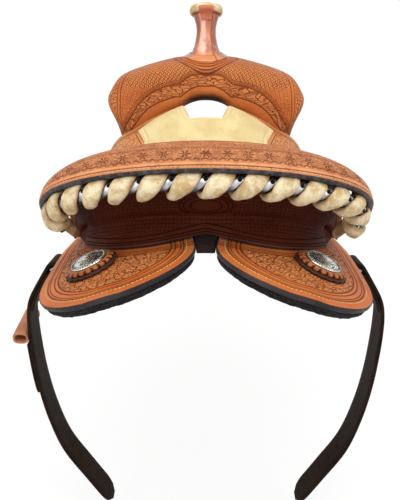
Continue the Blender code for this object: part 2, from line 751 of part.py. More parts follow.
def binding_frame(place):
    line, tangent, length, outward = BINDING
    pick = [np.array([np.interp(place, length, part[:, k]) for k in range(3)])
            for part in (line, tangent, outward)]
    centre, along, out = pick
    along = along / np.linalg.norm(along)
    out = out - along * np.dot(out, along)
    out = out / np.linalg.norm(out)
    return centre, along, out, np.cross(along, out)


def wound(phase, radius, thickness, outside, inside, points, sides):
    # Rings of a flat strip wound on the core: wide on the side that shows, narrow beneath
    total = BINDING[2][-1]
    margin = 0.5 * LACE_WIDTH_OUTSIDE
    rings, middles = [], []
    count = LACE_TURNS * points
    for k in range(count + 1):
        place = margin + (total - 2 * margin) * k / count
        turn = -2 * math.pi * (k / points + phase)
        centre, along, out, rear = binding_frame(place)
        spoke = math.cos(turn) * out + math.sin(turn) * rear
        round_way = math.sin(turn) * out - math.cos(turn) * rear
        pitch = (total - 2 * margin) / LACE_TURNS / (2 * math.pi)
        path = round_way * radius + along * pitch
        path /= np.linalg.norm(path)
        wide = np.cross(path, spoke)
        shown = (0.5 + 0.5 * math.sin(turn)) ** 1.6
        half = 0.5 * (inside + (outside - inside) * shown)
        middle = centre + radius * spoke
        middles.append(middle)
        ring = []
        for s in range(sides):
            around = 2 * math.pi * (s + 0.5) / sides
            ring.append(middle + half * math.cos(around) * wide
                        + 0.5 * thickness * math.sin(around) * spoke)
        rings.append(ring)
    return rings, np.array(middles)


def least_gap(middles, points, width):
    # The least distance between neighbouring turns, less the strip's width there
    ahead = middles[points:]
    behind = middles[:-points]
    return float(np.min(np.linalg.norm(ahead - behind, axis=1)) - width)


def binding():
    total = BINDING[2][-1]
    rings = []
    for k in range(25):
        centre, along, out, rear = binding_frame(total * (0.006 + 0.988 * k / 24))
        turns = [2 * math.pi * s / 6 for s in range(6)]
        rings.append([centre + BINDING_CORE_RADIUS * (math.cos(t) * out + math.sin(t) * rear)
                      for t in turns])
    loft("binding_core", rings, "dark")
    clear = LACE_CLEARANCE
    radius = (BINDING_CORE_RADIUS + clear) / math.cos(math.pi / LACE_POINTS) + LACE_THICKNESS / 2
    rings, middles = wound(0.0, radius, LACE_THICKNESS, LACE_WIDTH_OUTSIDE, LACE_WIDTH_INSIDE,
                           LACE_POINTS, LACE_SIDES)
    loft("rawhide_lace", rings, "rawhide")
    print("rawhide lace, least gap between turns in mm:",
          round(least_gap(middles, LACE_POINTS, LACE_WIDTH_INSIDE) * 1000, 2))
    radius = (BINDING_CORE_RADIUS + clear) / math.cos(math.pi / SILVER_POINTS) + SILVER_THICKNESS / 2
    rings, middles = wound(0.5, radius, SILVER_THICKNESS, SILVER_WIDTH_OUTSIDE,
                           SILVER_WIDTH_INSIDE, SILVER_POINTS, SILVER_SIDES)
    loft("silver_lace", rings, "silver")
    print("silver lace, least gap between turns in mm:",
          round(least_gap(middles, SILVER_POINTS, SILVER_WIDTH_INSIDE) * 1000, 2))


# Conchos

def beside_concho(radius, turn, lift, lobes=0.0):
    x, y = CONCHO_PLACE
    slope = (back_height(x + 0.001, y) - back_height(x - 0.001, y)) / 0.002
    reach = radius + lobes * abs(math.sin(ROSETTE_LOBES * turn / 2))
    return on_back(x + reach * math.cos(turn) / math.sqrt(1 + slope**2), y + reach * math.sin(turn), lift)


def conchos():
    sides = ROSETTE_LOBES * 2
    turns = [2 * math.pi * k / sides for k in range(sides)]
    base = LAYER_GAP
    step = base + ROSETTE_PLY
    top = step + ROSETTE_PLY
    hole = 0.0034
    lobe = ROSETTE_LOBE_DEPTH
    profile = [(hole, base, 0), (ROSETTE_RADIUS, base, lobe), (ROSETTE_RADIUS, step, lobe),
               (ROSETTE_RADIUS - 0.0025, step, lobe), (ROSETTE_RADIUS - 0.0025, top, lobe),
               (hole, top, 0)]
    rosette = [[beside_concho(r, t, h, d) for r, h, d in profile] for t in turns]
    seat = top + GAP
    post = hole - 0.0005
    few = [2 * math.pi * k / 18 for k in range(18)]
    metal = [(post, base + 0.0004), (post, seat), (CONCHO_RADIUS, seat),
             (CONCHO_RADIUS, seat + CONCHO_EDGE), (CONCHO_RADIUS - 0.002, seat + CONCHO_EDGE + 0.0008),
             (CONCHO_RADIUS - 0.0035, seat + CONCHO_EDGE - 0.0002), (0.011, seat + 0.0035),
             (0.004, seat + CONCHO_RISE)]
    disc_rings = [[beside_concho(r, t, h) for t in few] for r, h in metal]

    def build(side, flip):
        loft("rosette_" + side, [[p * flip for p in ring] for ring in rosette], "tooled", closed=True)
        loft("concho_" + side, [[p * flip for p in ring] for ring in disc_rings], "silver")

    both_sides(build)


# Rigging and billets

def plate_frame(y):
    # The flat plate lies under the skirt's leather: its foot, and its outward, long and upward ways
    foot = on_back(PLATE_TOUCH, y, -SKIRT_LEATHER)
    up = on_back(PLATE_TOUCH, y, 1.0) - on_back(PLATE_TOUCH, y, 0.0)
    along = np.cross(up, np.array([1.0, 0.0, 0.0]))
    along /= np.linalg.norm(along)
    return foot - PLATE_CLEARANCE * up, np.cross(along, up), along, up


def plate_place(y, flip):
    # Gives the point at t outwards, s along and h above the plate's top face
    foot, out, along, up = plate_frame(y)
    return lambda t, s, h: (foot + t * out + s * along + h * up) * flip


def rigging():
    def build(side, flip):
        for end, y in PLATE_PLACES:
            place = plate_place(y, flip)
            half = PLATE_LENGTH / 2
            nose = PLATE_SLOT_LENGTH / 2 + PLATE_BAR
            outline = [(PLATE_INNER, -half + 0.010), (PLATE_INNER, half - 0.010),
                       (PLATE_INNER + 0.010, half), (0.008, half), (PLATE_OUTER - 0.008, nose),
                       (PLATE_OUTER, nose - 0.008), (PLATE_OUTER, -nose + 0.008),
                       (PLATE_OUTER - 0.008, -nose), (0.008, -half), (PLATE_INNER + 0.010, -half)]
            name = "rigging_plate_" + end + "_" + side
            plate = loft(name, [[place(t, s, h) for t, s in outline] for h in (-PLATE_THICKNESS, 0)],
                         "steel", smooth=False)
            low = PLATE_OUTER - PLATE_BAR - PLATE_SLOT_WIDTH
            high = PLATE_OUTER - PLATE_BAR
            slot_half = PLATE_SLOT_LENGTH / 2
            corners = [(low, -slot_half + 0.003), (low, slot_half - 0.003), (low + 0.003, slot_half),
                       (high - 0.003, slot_half), (high, slot_half - 0.003), (high, -slot_half + 0.003),
                       (high - 0.003, -slot_half), (low + 0.003, -slot_half)]
            cut(plate, loft("slot_cutter_" + end + "_" + side,
                            [[place(t, s, h) for t, s in corners] for h in (-0.007, 0.004)], "steel"))
            for k, (t, s) in enumerate(RIVET_PLACES):
                turns = [2 * math.pi * n / 8 for n in range(8)]

                def ring(radius, h):
                    return [place(t + radius * math.cos(a), s + radius * math.sin(a), h) for a in turns]

                cut(plate, loft("rivet_cutter_%s_%s_%d" % (end, side, k),
                                [ring(RIVET_RADIUS + GAP, h) for h in (-0.007, 0.004)], "steel"))
                loft("rivet_%s_%s_%d" % (end, side, k),
                     [ring(RIVET_RADIUS, h) for h in (-PLATE_THICKNESS + GAP, -GAP)], "steel")

    both_sides(build)


def bar_centre():
    # Middle of the rear plate's lower bar, where the billet turns
    foot, out, _, up = plate_frame(REAR_PLATE_PLACE)
    return foot + (PLATE_OUTER - PLATE_BAR / 2) * out - PLATE_THICKNESS / 2 * up


def billet_path():
    # The strap's middle line in the plane of x and z: tail, turn round the bar, long leg
    centre = bar_centre()
    leg = [np.array(p) for p in BILLET_LINE]
    keys = [(float(k), *p) for k, p in enumerate(leg)]
    fine = [np.array(through(keys, k / 2)) for k in range(2 * len(leg) - 1)]
    tail = []
    for a, b in zip(fine[:8], fine[1:9]):
        way = (b - a) / np.linalg.norm(b - a)
        point = a + (BILLET_LEATHER + 0.0005) * np.array([way[1], -way[0]])
        if point[1] > -BILLET_TAIL:
            tail.append(point)
    turn = [centre[[0, 2]] + BILLET_LOOP_RADIUS * np.array([math.cos(a), math.sin(a)])
            for a in np.radians(np.linspace(240, 38, 9))]
    return tail[::-1] + turn + fine


def ribbon(path, thickness, width, flip, tip=0.0):
    # Rings of a strap along a path in x and z, its width level but at the sloping bar
    bar = bar_centre()
    sloping = plate_frame(REAR_PLATE_PLACE)[2]
    level = np.array([0.0, 1.0, 0.0])
    path = np.array(path)
    way = np.gradient(path, axis=0)
    way /= np.linalg.norm(way, axis=1, keepdims=True)
    side = np.stack([way[:, 1], -way[:, 0]], axis=1)
    run = np.linalg.norm(path - path[-1], axis=1)
    rings = []
    for p, n, left in zip(path, side, run):
        half = width / 2
        if tip and left < tip:
            half *= 0.35 + 0.65 * math.sqrt(1 - (1 - left / tip) ** 2)
        along = sloping + (level - sloping) * ease((bar[2] - p[1]) / STRAP_LEVEL_BELOW)
        ring = []
        for a, b in ((-1, -1), (1, -1), (1, 1), (-1, 1)):
            x, z = p + n * a * thickness / 2
            ring.append((np.array([x, bar[1], z]) + b * half * along) * flip)
        rings.append(ring)
    return rings


def billets():
    path = billet_path()

    def build(side, flip):
        rings = ribbon(path, BILLET_LEATHER, BILLET_WIDTH, flip, 0.030)
        loft("billet_" + side, rings, "dark")

    both_sides(build)
    near = np.array([-1.0, 1.0, 1.0])
    fine = [np.array(through([(float(k), *p) for k, p in enumerate(BILLET_LINE)], k / 8))
            for k in range(8 * len(BILLET_LINE) - 7)]
    lying = []
    for a, b in zip(fine, fine[1:]):
        if SAFE_BOTTOM < a[1] < KEEPER_HEIGHT - KEEPER_HALF_HEIGHT - 0.002:
            way = (b - a) / np.linalg.norm(b - a)
            out = np.array([-way[1], way[0]])
            lying.append(a + out * (BILLET_LEATHER / 2 + LAYER_GAP + SAFE_LEATHER / 2))
    loft("billet_safe", ribbon(lying[::3], SAFE_LEATHER, SAFE_WIDTH, near, 0.018), "dark")
    strap = min(fine, key=lambda p: abs(p[1] - KEEPER_HEIGHT))[0]
    middle = strap + BILLET_LEATHER / 2 + LAYER_GAP + KEEPER_HALF_WIDTH
    start = bar_centre()[1] - BILLET_WIDTH / 2
    mouths = [(0, start), (0, start + KEEPER_LENGTH), (KEEPER_WALL, start + KEEPER_LENGTH),
              (KEEPER_WALL, start)]
    rings = []
    for k in range(14):
        turn = 2 * math.pi * k / 14
        x = math.copysign(abs(math.cos(turn)) ** 0.7, math.cos(turn))
        z = math.copysign(abs(math.sin(turn)) ** 0.7, math.sin(turn))
        ring = []
        for wall, y in mouths:
            ring.append(np.array([middle + (KEEPER_HALF_WIDTH - wall) * x, y,
                                  KEEPER_HEIGHT + (KEEPER_HALF_HEIGHT - wall) * z]) * near)
        rings.append(ring)
    loft("keeper_loop", rings, "tooled", closed=True)


# Small leather between and before the skirts

def small_leather():
    top, bottom = [], []
    places = [-0.197 + 0.052 * k / 4 for k in range(5)]
    for share in (-1.0, 0.0, 1.0):
        halves = [share * (skirt_edges(y)[0] - LAYER_GAP) for y in places]
        top.append([on_back(x, y, -0.0015) for x, y in zip(halves, places)])
        bottom.append([on_back(x, y, -0.0115) for x, y in zip(halves, places)])
    slab("skirt_connector", top, bottom, "dark")
    high, low = [], []
    for i in range(5):
        up, down = [], []
        for k in range(9):
            y = JOCKEY_REAR + (JOCKEY_FRONT - JOCKEY_REAR) * k / 8
            share = k / 8
            bow = math.sin(math.pi * min(1.0, 0.12 + 0.88 * (1 - abs(2 * share - 1))) / 2)
            x = BAR_PAD_OUTER + JOCKEY_OFF_BAR + JOCKEY_WIDTH * bow * i / 4
            up.append(on_back(x, y, LAYER_GAP + COVER_LEATHER))
            down.append(on_back(x, y, LAYER_GAP))
        high.append(up)
        low.append(down)

    def build(side, flip):
        slab("front_jockey_" + side, np.array(high) * flip, np.array(low) * flip, "tooled")

    both_sides(build)


def main():
    for obj in list(bpy.data.objects):
        bpy.data.objects.remove(obj, do_unlink=True)
    skirts()
    bars()
    fork()
    horn()
    seat()
    cantle()
    binding()
    conchos()
    rigging()
    billets()
    small_leather()


main()
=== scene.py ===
import math
from functools import partialmethod

import bmesh
import bpy
import numpy as np
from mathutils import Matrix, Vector, noise
from mathutils.bvhtree import BVHTree
from mathutils.kdtree import KDTree


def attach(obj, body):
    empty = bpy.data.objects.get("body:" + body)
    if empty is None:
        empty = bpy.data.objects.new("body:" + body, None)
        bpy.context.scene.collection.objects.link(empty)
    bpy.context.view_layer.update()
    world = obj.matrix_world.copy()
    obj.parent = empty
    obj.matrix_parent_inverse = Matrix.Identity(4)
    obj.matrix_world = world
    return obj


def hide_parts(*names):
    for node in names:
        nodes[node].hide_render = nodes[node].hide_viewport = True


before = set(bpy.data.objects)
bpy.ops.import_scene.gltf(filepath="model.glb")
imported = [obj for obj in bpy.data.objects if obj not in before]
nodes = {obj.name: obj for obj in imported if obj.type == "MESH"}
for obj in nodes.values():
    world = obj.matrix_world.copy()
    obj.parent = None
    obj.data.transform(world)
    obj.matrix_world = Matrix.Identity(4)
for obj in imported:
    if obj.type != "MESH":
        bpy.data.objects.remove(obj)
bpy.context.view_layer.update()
saddleBody = "saddle"
print("frame loaded:", len(nodes), "nodes")

# Node helpers


class NodeSketch:
    # Short ways to add and join nodes in one tree
    def __init__(self, tree, material=None):
        self.tree = tree
        self.material = material

    def add(self, kind, **settings):
        node = self.tree.nodes.new(kind)
        for key, value in settings.items():
            setattr(node, key, value)
        return node

    def join(self, value, socket):
        if isinstance(value, bpy.types.NodeSocket):
            self.tree.links.new(value, socket)
        elif socket.type == "RGBA" and len(value) == 3:
            socket.default_value = (*value, 1.0)
        else:
            socket.default_value = value

    def fed(self, kind, values, **settings):
        # Adds a node, joins its inputs and gives its outputs
        node = self.add(kind, **settings)
        for key, value in values.items():
            self.join(value, node.inputs[key])
        return node.outputs

    def calc(self, operation, *values):
        return self.fed("ShaderNodeMath", dict(enumerate(values)), operation=operation)[0]

    times = partialmethod(calc, "MULTIPLY")
    timesPlus = partialmethod(calc, "MULTIPLY_ADD")
    plus = partialmethod(calc, "ADD")
    minus = partialmethod(calc, "SUBTRACT")
    over = partialmethod(calc, "DIVIDE")
    most = partialmethod(calc, "MAXIMUM")
    size = partialmethod(calc, "ABSOLUTE")

    def reach(self, x, y):
        return self.calc("SQRT", self.plus(self.times(x, x), self.times(y, y)))

    def vector(self, operation, *values, out=0):
        return self.fed("ShaderNodeVectorMath", dict(enumerate(values)), operation=operation)[out]

    def scaled(self, vector, amount):
        return self.fed("ShaderNodeVectorMath", {0: vector, "Scale": amount}, operation="SCALE")[0]

    def split(self, vector):
        return self.fed("ShaderNodeSeparateXYZ", {0: vector})[0:3]

    def combine(self, *parts):
        return self.fed("ShaderNodeCombineXYZ", dict(enumerate(parts)))[0]

    def mix(self, share, first, second):
        return self.fed("ShaderNodeMix", {0: share, 6: first, 7: second}, data_type="RGBA")[2]

    def blend(self, share, first, second):
        return self.fed("ShaderNodeMixShader", {0: share, 1: first, 2: second})[0]

    def step(self, value, low, high, toLow=0.0, toHigh=1.0, curve="SMOOTHSTEP"):
        given = dict(enumerate((value, low, high, toLow, toHigh)))
        return self.fed("ShaderNodeMapRange", given, interpolation_type=curve)[0]

    def fall(self, value, low, high):
        return self.step(value, low, high, 1.0, 0.0)

    def noise(self, vector, scale, detail=3.0, rough=0.55, out=0):
        given = {"Vector": vector, "Scale": scale, "Detail": detail, "Roughness": rough}
        return self.fed("ShaderNodeTexNoise", given)[out]

    def use(self, tree, **values):
        return self.fed("ShaderNodeGroup", values, node_tree=tree)

    def attribute(self, name):
        return self.add("ShaderNodeAttribute", attribute_name=name).outputs["Fac"]

    def place(self):
        return self.add("ShaderNodeTexCoord").outputs["Object"]

    def surface(self):
        return self.add("ShaderNodeUVMap", uv_map="UVMap").outputs[0]

    def finish(self, tone, rough=None, height=None, depth=0.0):
        # Joins the material's colour, its roughness as value, gain and base, and its relief
        inputs = self.tree.nodes["Principled BSDF"].inputs
        self.join(tone, inputs["Base Color"])
        if rough:
            self.join(self.timesPlus(*rough), inputs["Roughness"])
        if height is not None:
            given = {"Strength": 1.0, "Distance": depth, "Height": height}
            self.join(self.fed("ShaderNodeBump", given)[0], inputs["Normal"])
        return self.material


def newMaterial(name, roughness=0.5, metallic=0.0, coat=0.0, coatRough=0.32, sheen=0.0, specular=0.22):
    material = bpy.data.materials.new(name)
    material.use_nodes = True
    inputs = material.node_tree.nodes["Principled BSDF"].inputs
    inputs["Roughness"].default_value = roughness
    inputs["Metallic"].default_value = metallic
    inputs["Coat Weight"].default_value = coat
    inputs["Coat Roughness"].default_value = coatRough
    inputs["Sheen Weight"].default_value = sheen
    inputs["Specular IOR Level"].default_value = specular
    return NodeSketch(material.node_tree, material)


def linked(name, data):
    item = bpy.data.objects.new(name, data)
    bpy.context.scene.collection.objects.link(item)
    return item


# Camera, floor and light

studio = {
    "place": (-0.00156, -0.75164, 0.37305), "tilt": 62.92, "turn": 0.49, "lens": 41.27, "sensor": 36,
    "floorLevel": -0.47, "floorHalf": 6.0, "floorGlow": 0.80, "floorFade": (0.8, 2.6),
    "paperTone": (0.94, 0.94, 0.94), "paperWhite": 1.06, "worldTone": (1, 0.985, 0.96), "worldLight": 0.57,
    "lamps": [("topLamp", (0.0, -0.35, 1.5), (0.0, -0.02, 0.1), 1.5, 15.0),
              ("nearLamp", (-1.3, -1.2, 0.9), (0.0, -0.05, 0.1), 1.2, 8.0),
              ("offLamp", (1.5, -0.9, 0.8), (0.0, -0.05, 0.1), 1.2, 7.0)],
}


def seenRays(s):
    # 1 for rays that the camera sends, straight or by way of a mirror or glass
    path = s.add("ShaderNodeLightPath").outputs
    return s.most(s.most(path["Is Camera Ray"], path["Is Glossy Ray"]), path["Is Transmission Ray"])


def setStudio(settings):
    camera = linked("camera", bpy.data.cameras.new("camera"))
    camera.location = settings["place"]
    camera.rotation_euler = (math.radians(settings["tilt"]), 0, math.radians(settings["turn"]))
    camera.data.lens = settings["lens"]
    camera.data.sensor_width = settings["sensor"]
    bpy.context.scene.camera = camera
    for name, place, aim, size, power in settings["lamps"]:
        lamp = bpy.data.lights.new(name, "AREA")
        lamp.shape = "DISK"
        lamp.size = size
        lamp.energy = power
        holder = linked(name, lamp)
        holder.location = place
        holder.rotation_euler = (Vector(aim) - Vector(place)).to_track_quat("-Z", "Y").to_euler()
    world = bpy.data.worlds.new("studioWorld")
    world.use_nodes = True
    bpy.context.scene.world = world
    s = NodeSketch(world.node_tree)
    soft = world.node_tree.nodes["Background"]
    s.join(settings["worldTone"], soft.inputs["Color"])
    s.join(settings["worldLight"], soft.inputs["Strength"])
    white = s.fed("ShaderNodeBackground", {"Color": (1, 1, 1)})[0]
    sky = s.blend(seenRays(s), soft.outputs[0], white)
    s.join(sky, world.node_tree.nodes["World Output"].inputs["Surface"])

    mesh = bpy.data.meshes.new("floor")
    level, far = settings["floorLevel"], settings["floorHalf"]
    mesh.from_pydata([(-far, -far, level), (far, -far, level), (far, far, level), (-far, far, level)],
                     [], [(0, 1, 2, 3)])
    floor = linked("floor", mesh)
    # The camera sees the floor as near white, darker where the saddle's shadow falls
    s = newMaterial("floorPaper", roughness=0.9, specular=0.5)
    mesh.materials.append(s.finish(settings["paperTone"]))
    away = s.vector("LENGTH", s.place(), out="Value")
    fade = s.step(away, *settings["floorFade"], settings["floorGlow"], 1.0, curve="LINEAR")
    glow = s.fed("ShaderNodeEmission", {"Strength": settings["paperWhite"]})[0]
    paper = s.blend(s.times(seenRays(s), fade), s.tree.nodes["Principled BSDF"].outputs[0], glow)
    s.join(paper, s.tree.nodes["Material Output"].inputs["Surface"])
    bpy.context.scene.view_settings.view_transform = "Standard"


setStudio(studio)
print("studio ready")

# Shapes of the saddle, in metres; +X is the off side, +Y the horse's head

leather = {"gap": 0.0003, "layerGap": 0.0006, "skirt": 0.006, "seat": 0.0035, "cover": 0.0035, "roll": 0.0055,
           "fleece": 0.0075, "fleeceInset": 0.0015}
backLine = [(-0.300, 0.104, 1.76), (-0.100, 0.090, 1.76), (0.000, 0.082, 2.10),
            (0.100, 0.078, 2.60), (0.320, 0.082, 2.90)]
mirrorX = np.array([-1.0, 1.0, 1.0])
bothSides = (("left", mirrorX), ("right", np.ones(3)))


def curved(t, width, start, end, leave, arrive):
    # A cubic from start to end with the slopes leave and arrive
    return ((2 * t**3 - 3 * t**2 + 1) * start + (t**3 - 2 * t**2 + t) * width * leave
            + (3 * t**2 - 2 * t**3) * end + (t**3 - t**2) * width * arrive)


def through(stations, at):
    # A smooth line through stations whose first entry is the place along it
    last = len(stations) - 1
    low = 0
    while low < last - 1 and at > stations[low + 1][0]:
        low += 1

    def slope(i):
        before, after = stations[max(i - 1, 0)], stations[min(i + 1, last)]
        return (np.array(after[1:]) - np.array(before[1:])) / (after[0] - before[0])

    width = stations[low + 1][0] - stations[low][0]
    start, end = np.array(stations[low][1:]), np.array(stations[low + 1][1:])
    return curved((at - stations[low][0]) / width, width, start, end, slope(low), slope(low + 1))


def throughAll(points, cuts=3):
    # A smooth line through points, each step between two of them cut into equal parts
    keys = [(float(k), *p) for k, p in enumerate(points)]
    return [through(keys, k / cuts) for k in range(cuts * (len(points) - 1) + 1)]


def ease(value):
    t = min(max(value, 0.0), 1.0)
    return t * t * (3 - 2 * t)


def squarer(value, power):
    # Draws a sine or cosine out towards 1, keeping its sign
    return math.copysign(abs(value) ** power, value)


def backHeight(x, y):
    ridge, spread = through(backLine, y)
    return ridge - spread * x * x


def backSlope(x, y, step=0.001):
    return (backHeight(x + step, y) - backHeight(x - step, y)) / (2 * step)


def onBack(x, y, lift):
    # A point lifted square off the surface that the skirts' leather makes
    step = 0.001
    dx = backSlope(x, y)
    dy = (backHeight(x, y + step) - backHeight(x, y - step)) / (2 * step)
    normal = np.array([-dx, -dy, 1.0]) / math.sqrt(dx * dx + dy * dy + 1)
    return np.array([x, y, backHeight(x, y)]) + lift * normal


def upFrom(x, y):
    return onBack(x, y, 1.0) - onBack(x, y, 0.0)


def gridNormals(grid):
    normal = np.cross(np.gradient(grid, axis=0), np.gradient(grid, axis=1))
    length = np.linalg.norm(normal, axis=2, keepdims=True)
    return normal / np.maximum(length, 1e-12)


def unitWays(line):
    way = np.gradient(line, axis=0)
    return way / np.linalg.norm(way, axis=1, keepdims=True)


def mirrored(grid):
    # Adds the left half to a grid whose first row lies on the middle plane
    grid = np.asarray(grid)
    return np.concatenate([grid[1:][::-1] * mirrorX, grid])


def span(first, last, count):
    return [first + (last - first) * k / (count - 1) for k in range(count)]


def circle(count):
    return [2 * math.pi * k / count for k in range(count)]


def arcLengths(line):
    steps = np.linalg.norm(np.diff(line, axis=0), axis=1)
    return np.concatenate([[0.0], np.cumsum(steps)])


# Meshes from grids of points


def meshPiece(name, verts, faces, faceSlots, materials, uvs=None, values=None):
    mesh = bpy.data.meshes.new(name)
    mesh.from_pydata([tuple(v) for v in verts], [], faces)
    for attribute, numbers in (values or {}).items():
        layer = mesh.attributes.new(attribute, "FLOAT", "POINT")
        layer.data.foreach_set("value", np.asarray(numbers, np.float32))
    if uvs is not None:
        layer = mesh.uv_layers.new(name="UVMap")
        index = np.zeros(len(mesh.loops), np.int32)
        mesh.loops.foreach_get("vertex_index", index)
        layer.data.foreach_set("uv", np.asarray(uvs, np.float32)[index].ravel())
    for material in materials:
        mesh.materials.append(material)
    mesh.polygons.foreach_set("material_index", np.asarray(faceSlots, np.int32))
    mesh.polygons.foreach_set("use_smooth", [True] * len(mesh.polygons))
    mesh.update()
    build = bmesh.new()
    build.from_mesh(mesh)
    bmesh.ops.recalc_face_normals(build, faces=build.faces)
    build.to_mesh(mesh)
    build.free()
    return linked(name, mesh)


def rimOrder(rows, columns):
    order = [(i, 0) for i in range(rows)] + [(rows - 1, k) for k in range(1, columns)]
    order += [(i, columns - 1) for i in range(rows - 2, -1, -1)]
    return order + [(0, k) for k in range(columns - 2, 0, -1)]


def outline(grid):
    rows, columns = grid.shape[:2]
    order = rimOrder(rows, columns)
    return np.array([grid[p] for p in order + order[:1]])


def sheetPiece(name, top, bottom, materials, uvs, values=None, roundness=0.0012):
    # A sheet of leather: top and bottom grids, joined all round by a rounded edge
    top, bottom = np.array(top, float), np.array(bottom, float)
    rows, columns = top.shape[:2]
    count = rows * columns
    order = rimOrder(rows, columns)
    edgeTop, edgeBottom = [top[p].copy() for p in order], [bottom[p].copy() for p in order]
    for (i, k), upper, lower in zip(order, edgeTop, edgeBottom):
        inside = (min(max(i, 1), rows - 2), min(max(k, 1), columns - 2))
        way = upper - top[inside]
        thick = upper - lower
        way -= thick * np.dot(way, thick) / max(np.dot(thick, thick), 1e-12)
        reach = np.linalg.norm(way)
        pull = min(roundness, 0.4 * reach) * way / max(reach, 1e-9)
        top[i, k] -= pull
        bottom[i, k] -= pull
    verts = [*top.reshape(-1, 3), *bottom.reshape(-1, 3)]
    for down in (0.22, 0.78):
        verts += [a + down * (b - a) for a, b in zip(edgeTop, edgeBottom)]
    faces, slots = [], []
    for i in range(rows - 1):
        for k in range(columns - 1):
            a, b = i * columns + k, (i + 1) * columns + k
            faces += [(a, b, b + 1, a + 1), (count + a, count + a + 1, count + b + 1, count + b)]
            slots += [0, 2]
    around = len(order)
    flat = [i * columns + k for i, k in order]
    loops = [flat, [2 * count + s for s in range(around)],
             [2 * count + around + s for s in range(around)], [count + f for f in flat]]
    for upper, lower in zip(loops, loops[1:]):
        for s in range(around):
            n = (s + 1) % around
            faces.append((upper[s], upper[n], lower[n], lower[s]))
            slots.append(1)
    uvs = np.array(uvs, float).reshape(-1, 2)
    allUvs = np.concatenate([uvs, uvs, uvs[flat], uvs[flat]])
    allValues = {}
    for key, numbers in (values or {}).items():
        numbers = np.asarray(numbers, float).ravel()
        allValues[key] = np.concatenate([numbers, numbers, numbers[flat], numbers[flat]])
    return meshPiece(name, verts, faces, slots, materials, allUvs, allValues)


def loftPiece(name, rings, materials, closed=False, uvs=None, values=None):
    rings = np.array(rings, float)
    count, sides = rings.shape[:2]
    faces = []
    for r in range(count if closed else count - 1):
        n = (r + 1) % count
        for s in range(sides):
            t = (s + 1) % sides
            faces.append((r * sides + s, r * sides + t, n * sides + t, n * sides + s))
    if not closed:
        faces += [tuple(range(sides)), tuple((count - 1) * sides + s for s in range(sides))]
    slots = [0] * len(faces)
    return meshPiece(name, rings.reshape(-1, 3), faces, slots, materials, uvs, values)


def wayToLine(points, line):
    # For each point, the distance to a line and how far along it the nearest place is
    line = np.asarray(line, float)
    length = arcLengths(line)
    tree = KDTree(len(line))
    for k, p in enumerate(line):
        tree.insert(p, k)
    tree.balance()
    ways, alongs = [], []
    for p in np.asarray(points, float).reshape(-1, 3):
        near = tree.find(p)[1]
        best = (1e9, 0.0)
        for k in (near - 1, near):
            if 0 <= k < len(line) - 1:
                step = line[k + 1] - line[k]
                t = min(max(np.dot(p - line[k], step) / max(np.dot(step, step), 1e-12), 0.0), 1.0)
                gap = np.linalg.norm(p - line[k] - t * step)
                best = min(best, (gap, length[k] + t * (length[k + 1] - length[k])))
        ways.append(best[0])
        alongs.append(best[1])
    return np.array(ways), np.array(alongs)


def placed(piece, *replaced, slot=None, body=saddleBody):
    if replaced:
        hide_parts(*replaced)
    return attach(piece, body)


# Shared shader groups


def shaderGroup(name, inputs, outputs):
    tree = bpy.data.node_groups.new(name, "ShaderNodeTree")
    for label, value in inputs.items():
        kind = "Vector" if value is None else "Float"
        socket = tree.interface.new_socket(label, in_out="INPUT", socket_type="NodeSocket" + kind)
        if value is not None:
            socket.default_value = value
    for label in outputs:
        tree.interface.new_socket(label, in_out="OUTPUT", socket_type="NodeSocketFloat")
    start, end = tree.nodes.new("NodeGroupInput"), tree.nodes.new("NodeGroupOutput")
    return tree, NodeSketch(tree), start.outputs, end.inputs


def leatherGrain():
    tree, s, given, out = shaderGroup("leatherGrain", {"Vector": None, "Pore Size": 0.0016},
                                      ["Height", "Mottle"])
    scale = s.over(1.0, given["Pore Size"])
    pores = s.fed("ShaderNodeTexVoronoi", {"Vector": given["Vector"], "Scale": scale},
                  feature="DISTANCE_TO_EDGE")[0]
    fine = s.noise(given["Vector"], s.times(scale, 0.35), 4.0)
    s.join(s.plus(s.step(pores, 0.0, 0.25), fine), out["Height"])
    s.join(s.noise(given["Vector"], 21.0, 5.0, 0.6), out["Mottle"])
    return tree


def basketStamp():
    # Woven cells of a basket stamp: ribs run one way in every other cell
    tree, s, given, out = shaderGroup("basketStamp", {"Vector": None, "Cell": 0.0055, "Turn": 0.7},
                                      ["Height"])
    turned = s.fed("ShaderNodeVectorRotate", {"Vector": given["Vector"], "Angle": given["Turn"]},
                   rotation_type="Z_AXIS")[0]
    x, y = s.split(s.scaled(turned, s.over(1.0, given["Cell"])))[:2]
    which = s.size(s.calc("MODULO", s.plus(s.calc("FLOOR", x), s.calc("FLOOR", y)), 2.0))
    fx, fy = s.calc("FRACT", x), s.calc("FRACT", y)

    def rib(along, across):
        arch = s.calc("SINE", s.times(along, math.pi))
        twin = s.size(s.calc("SINE", s.times(across, 2 * math.pi)))
        return s.times(s.calc("POWER", arch, 0.5), s.calc("POWER", twin, 0.45))

    first, second = rib(fx, fy), rib(fy, fx)
    s.join(s.timesPlus(s.minus(second, first), which, first), out["Height"])
    return tree


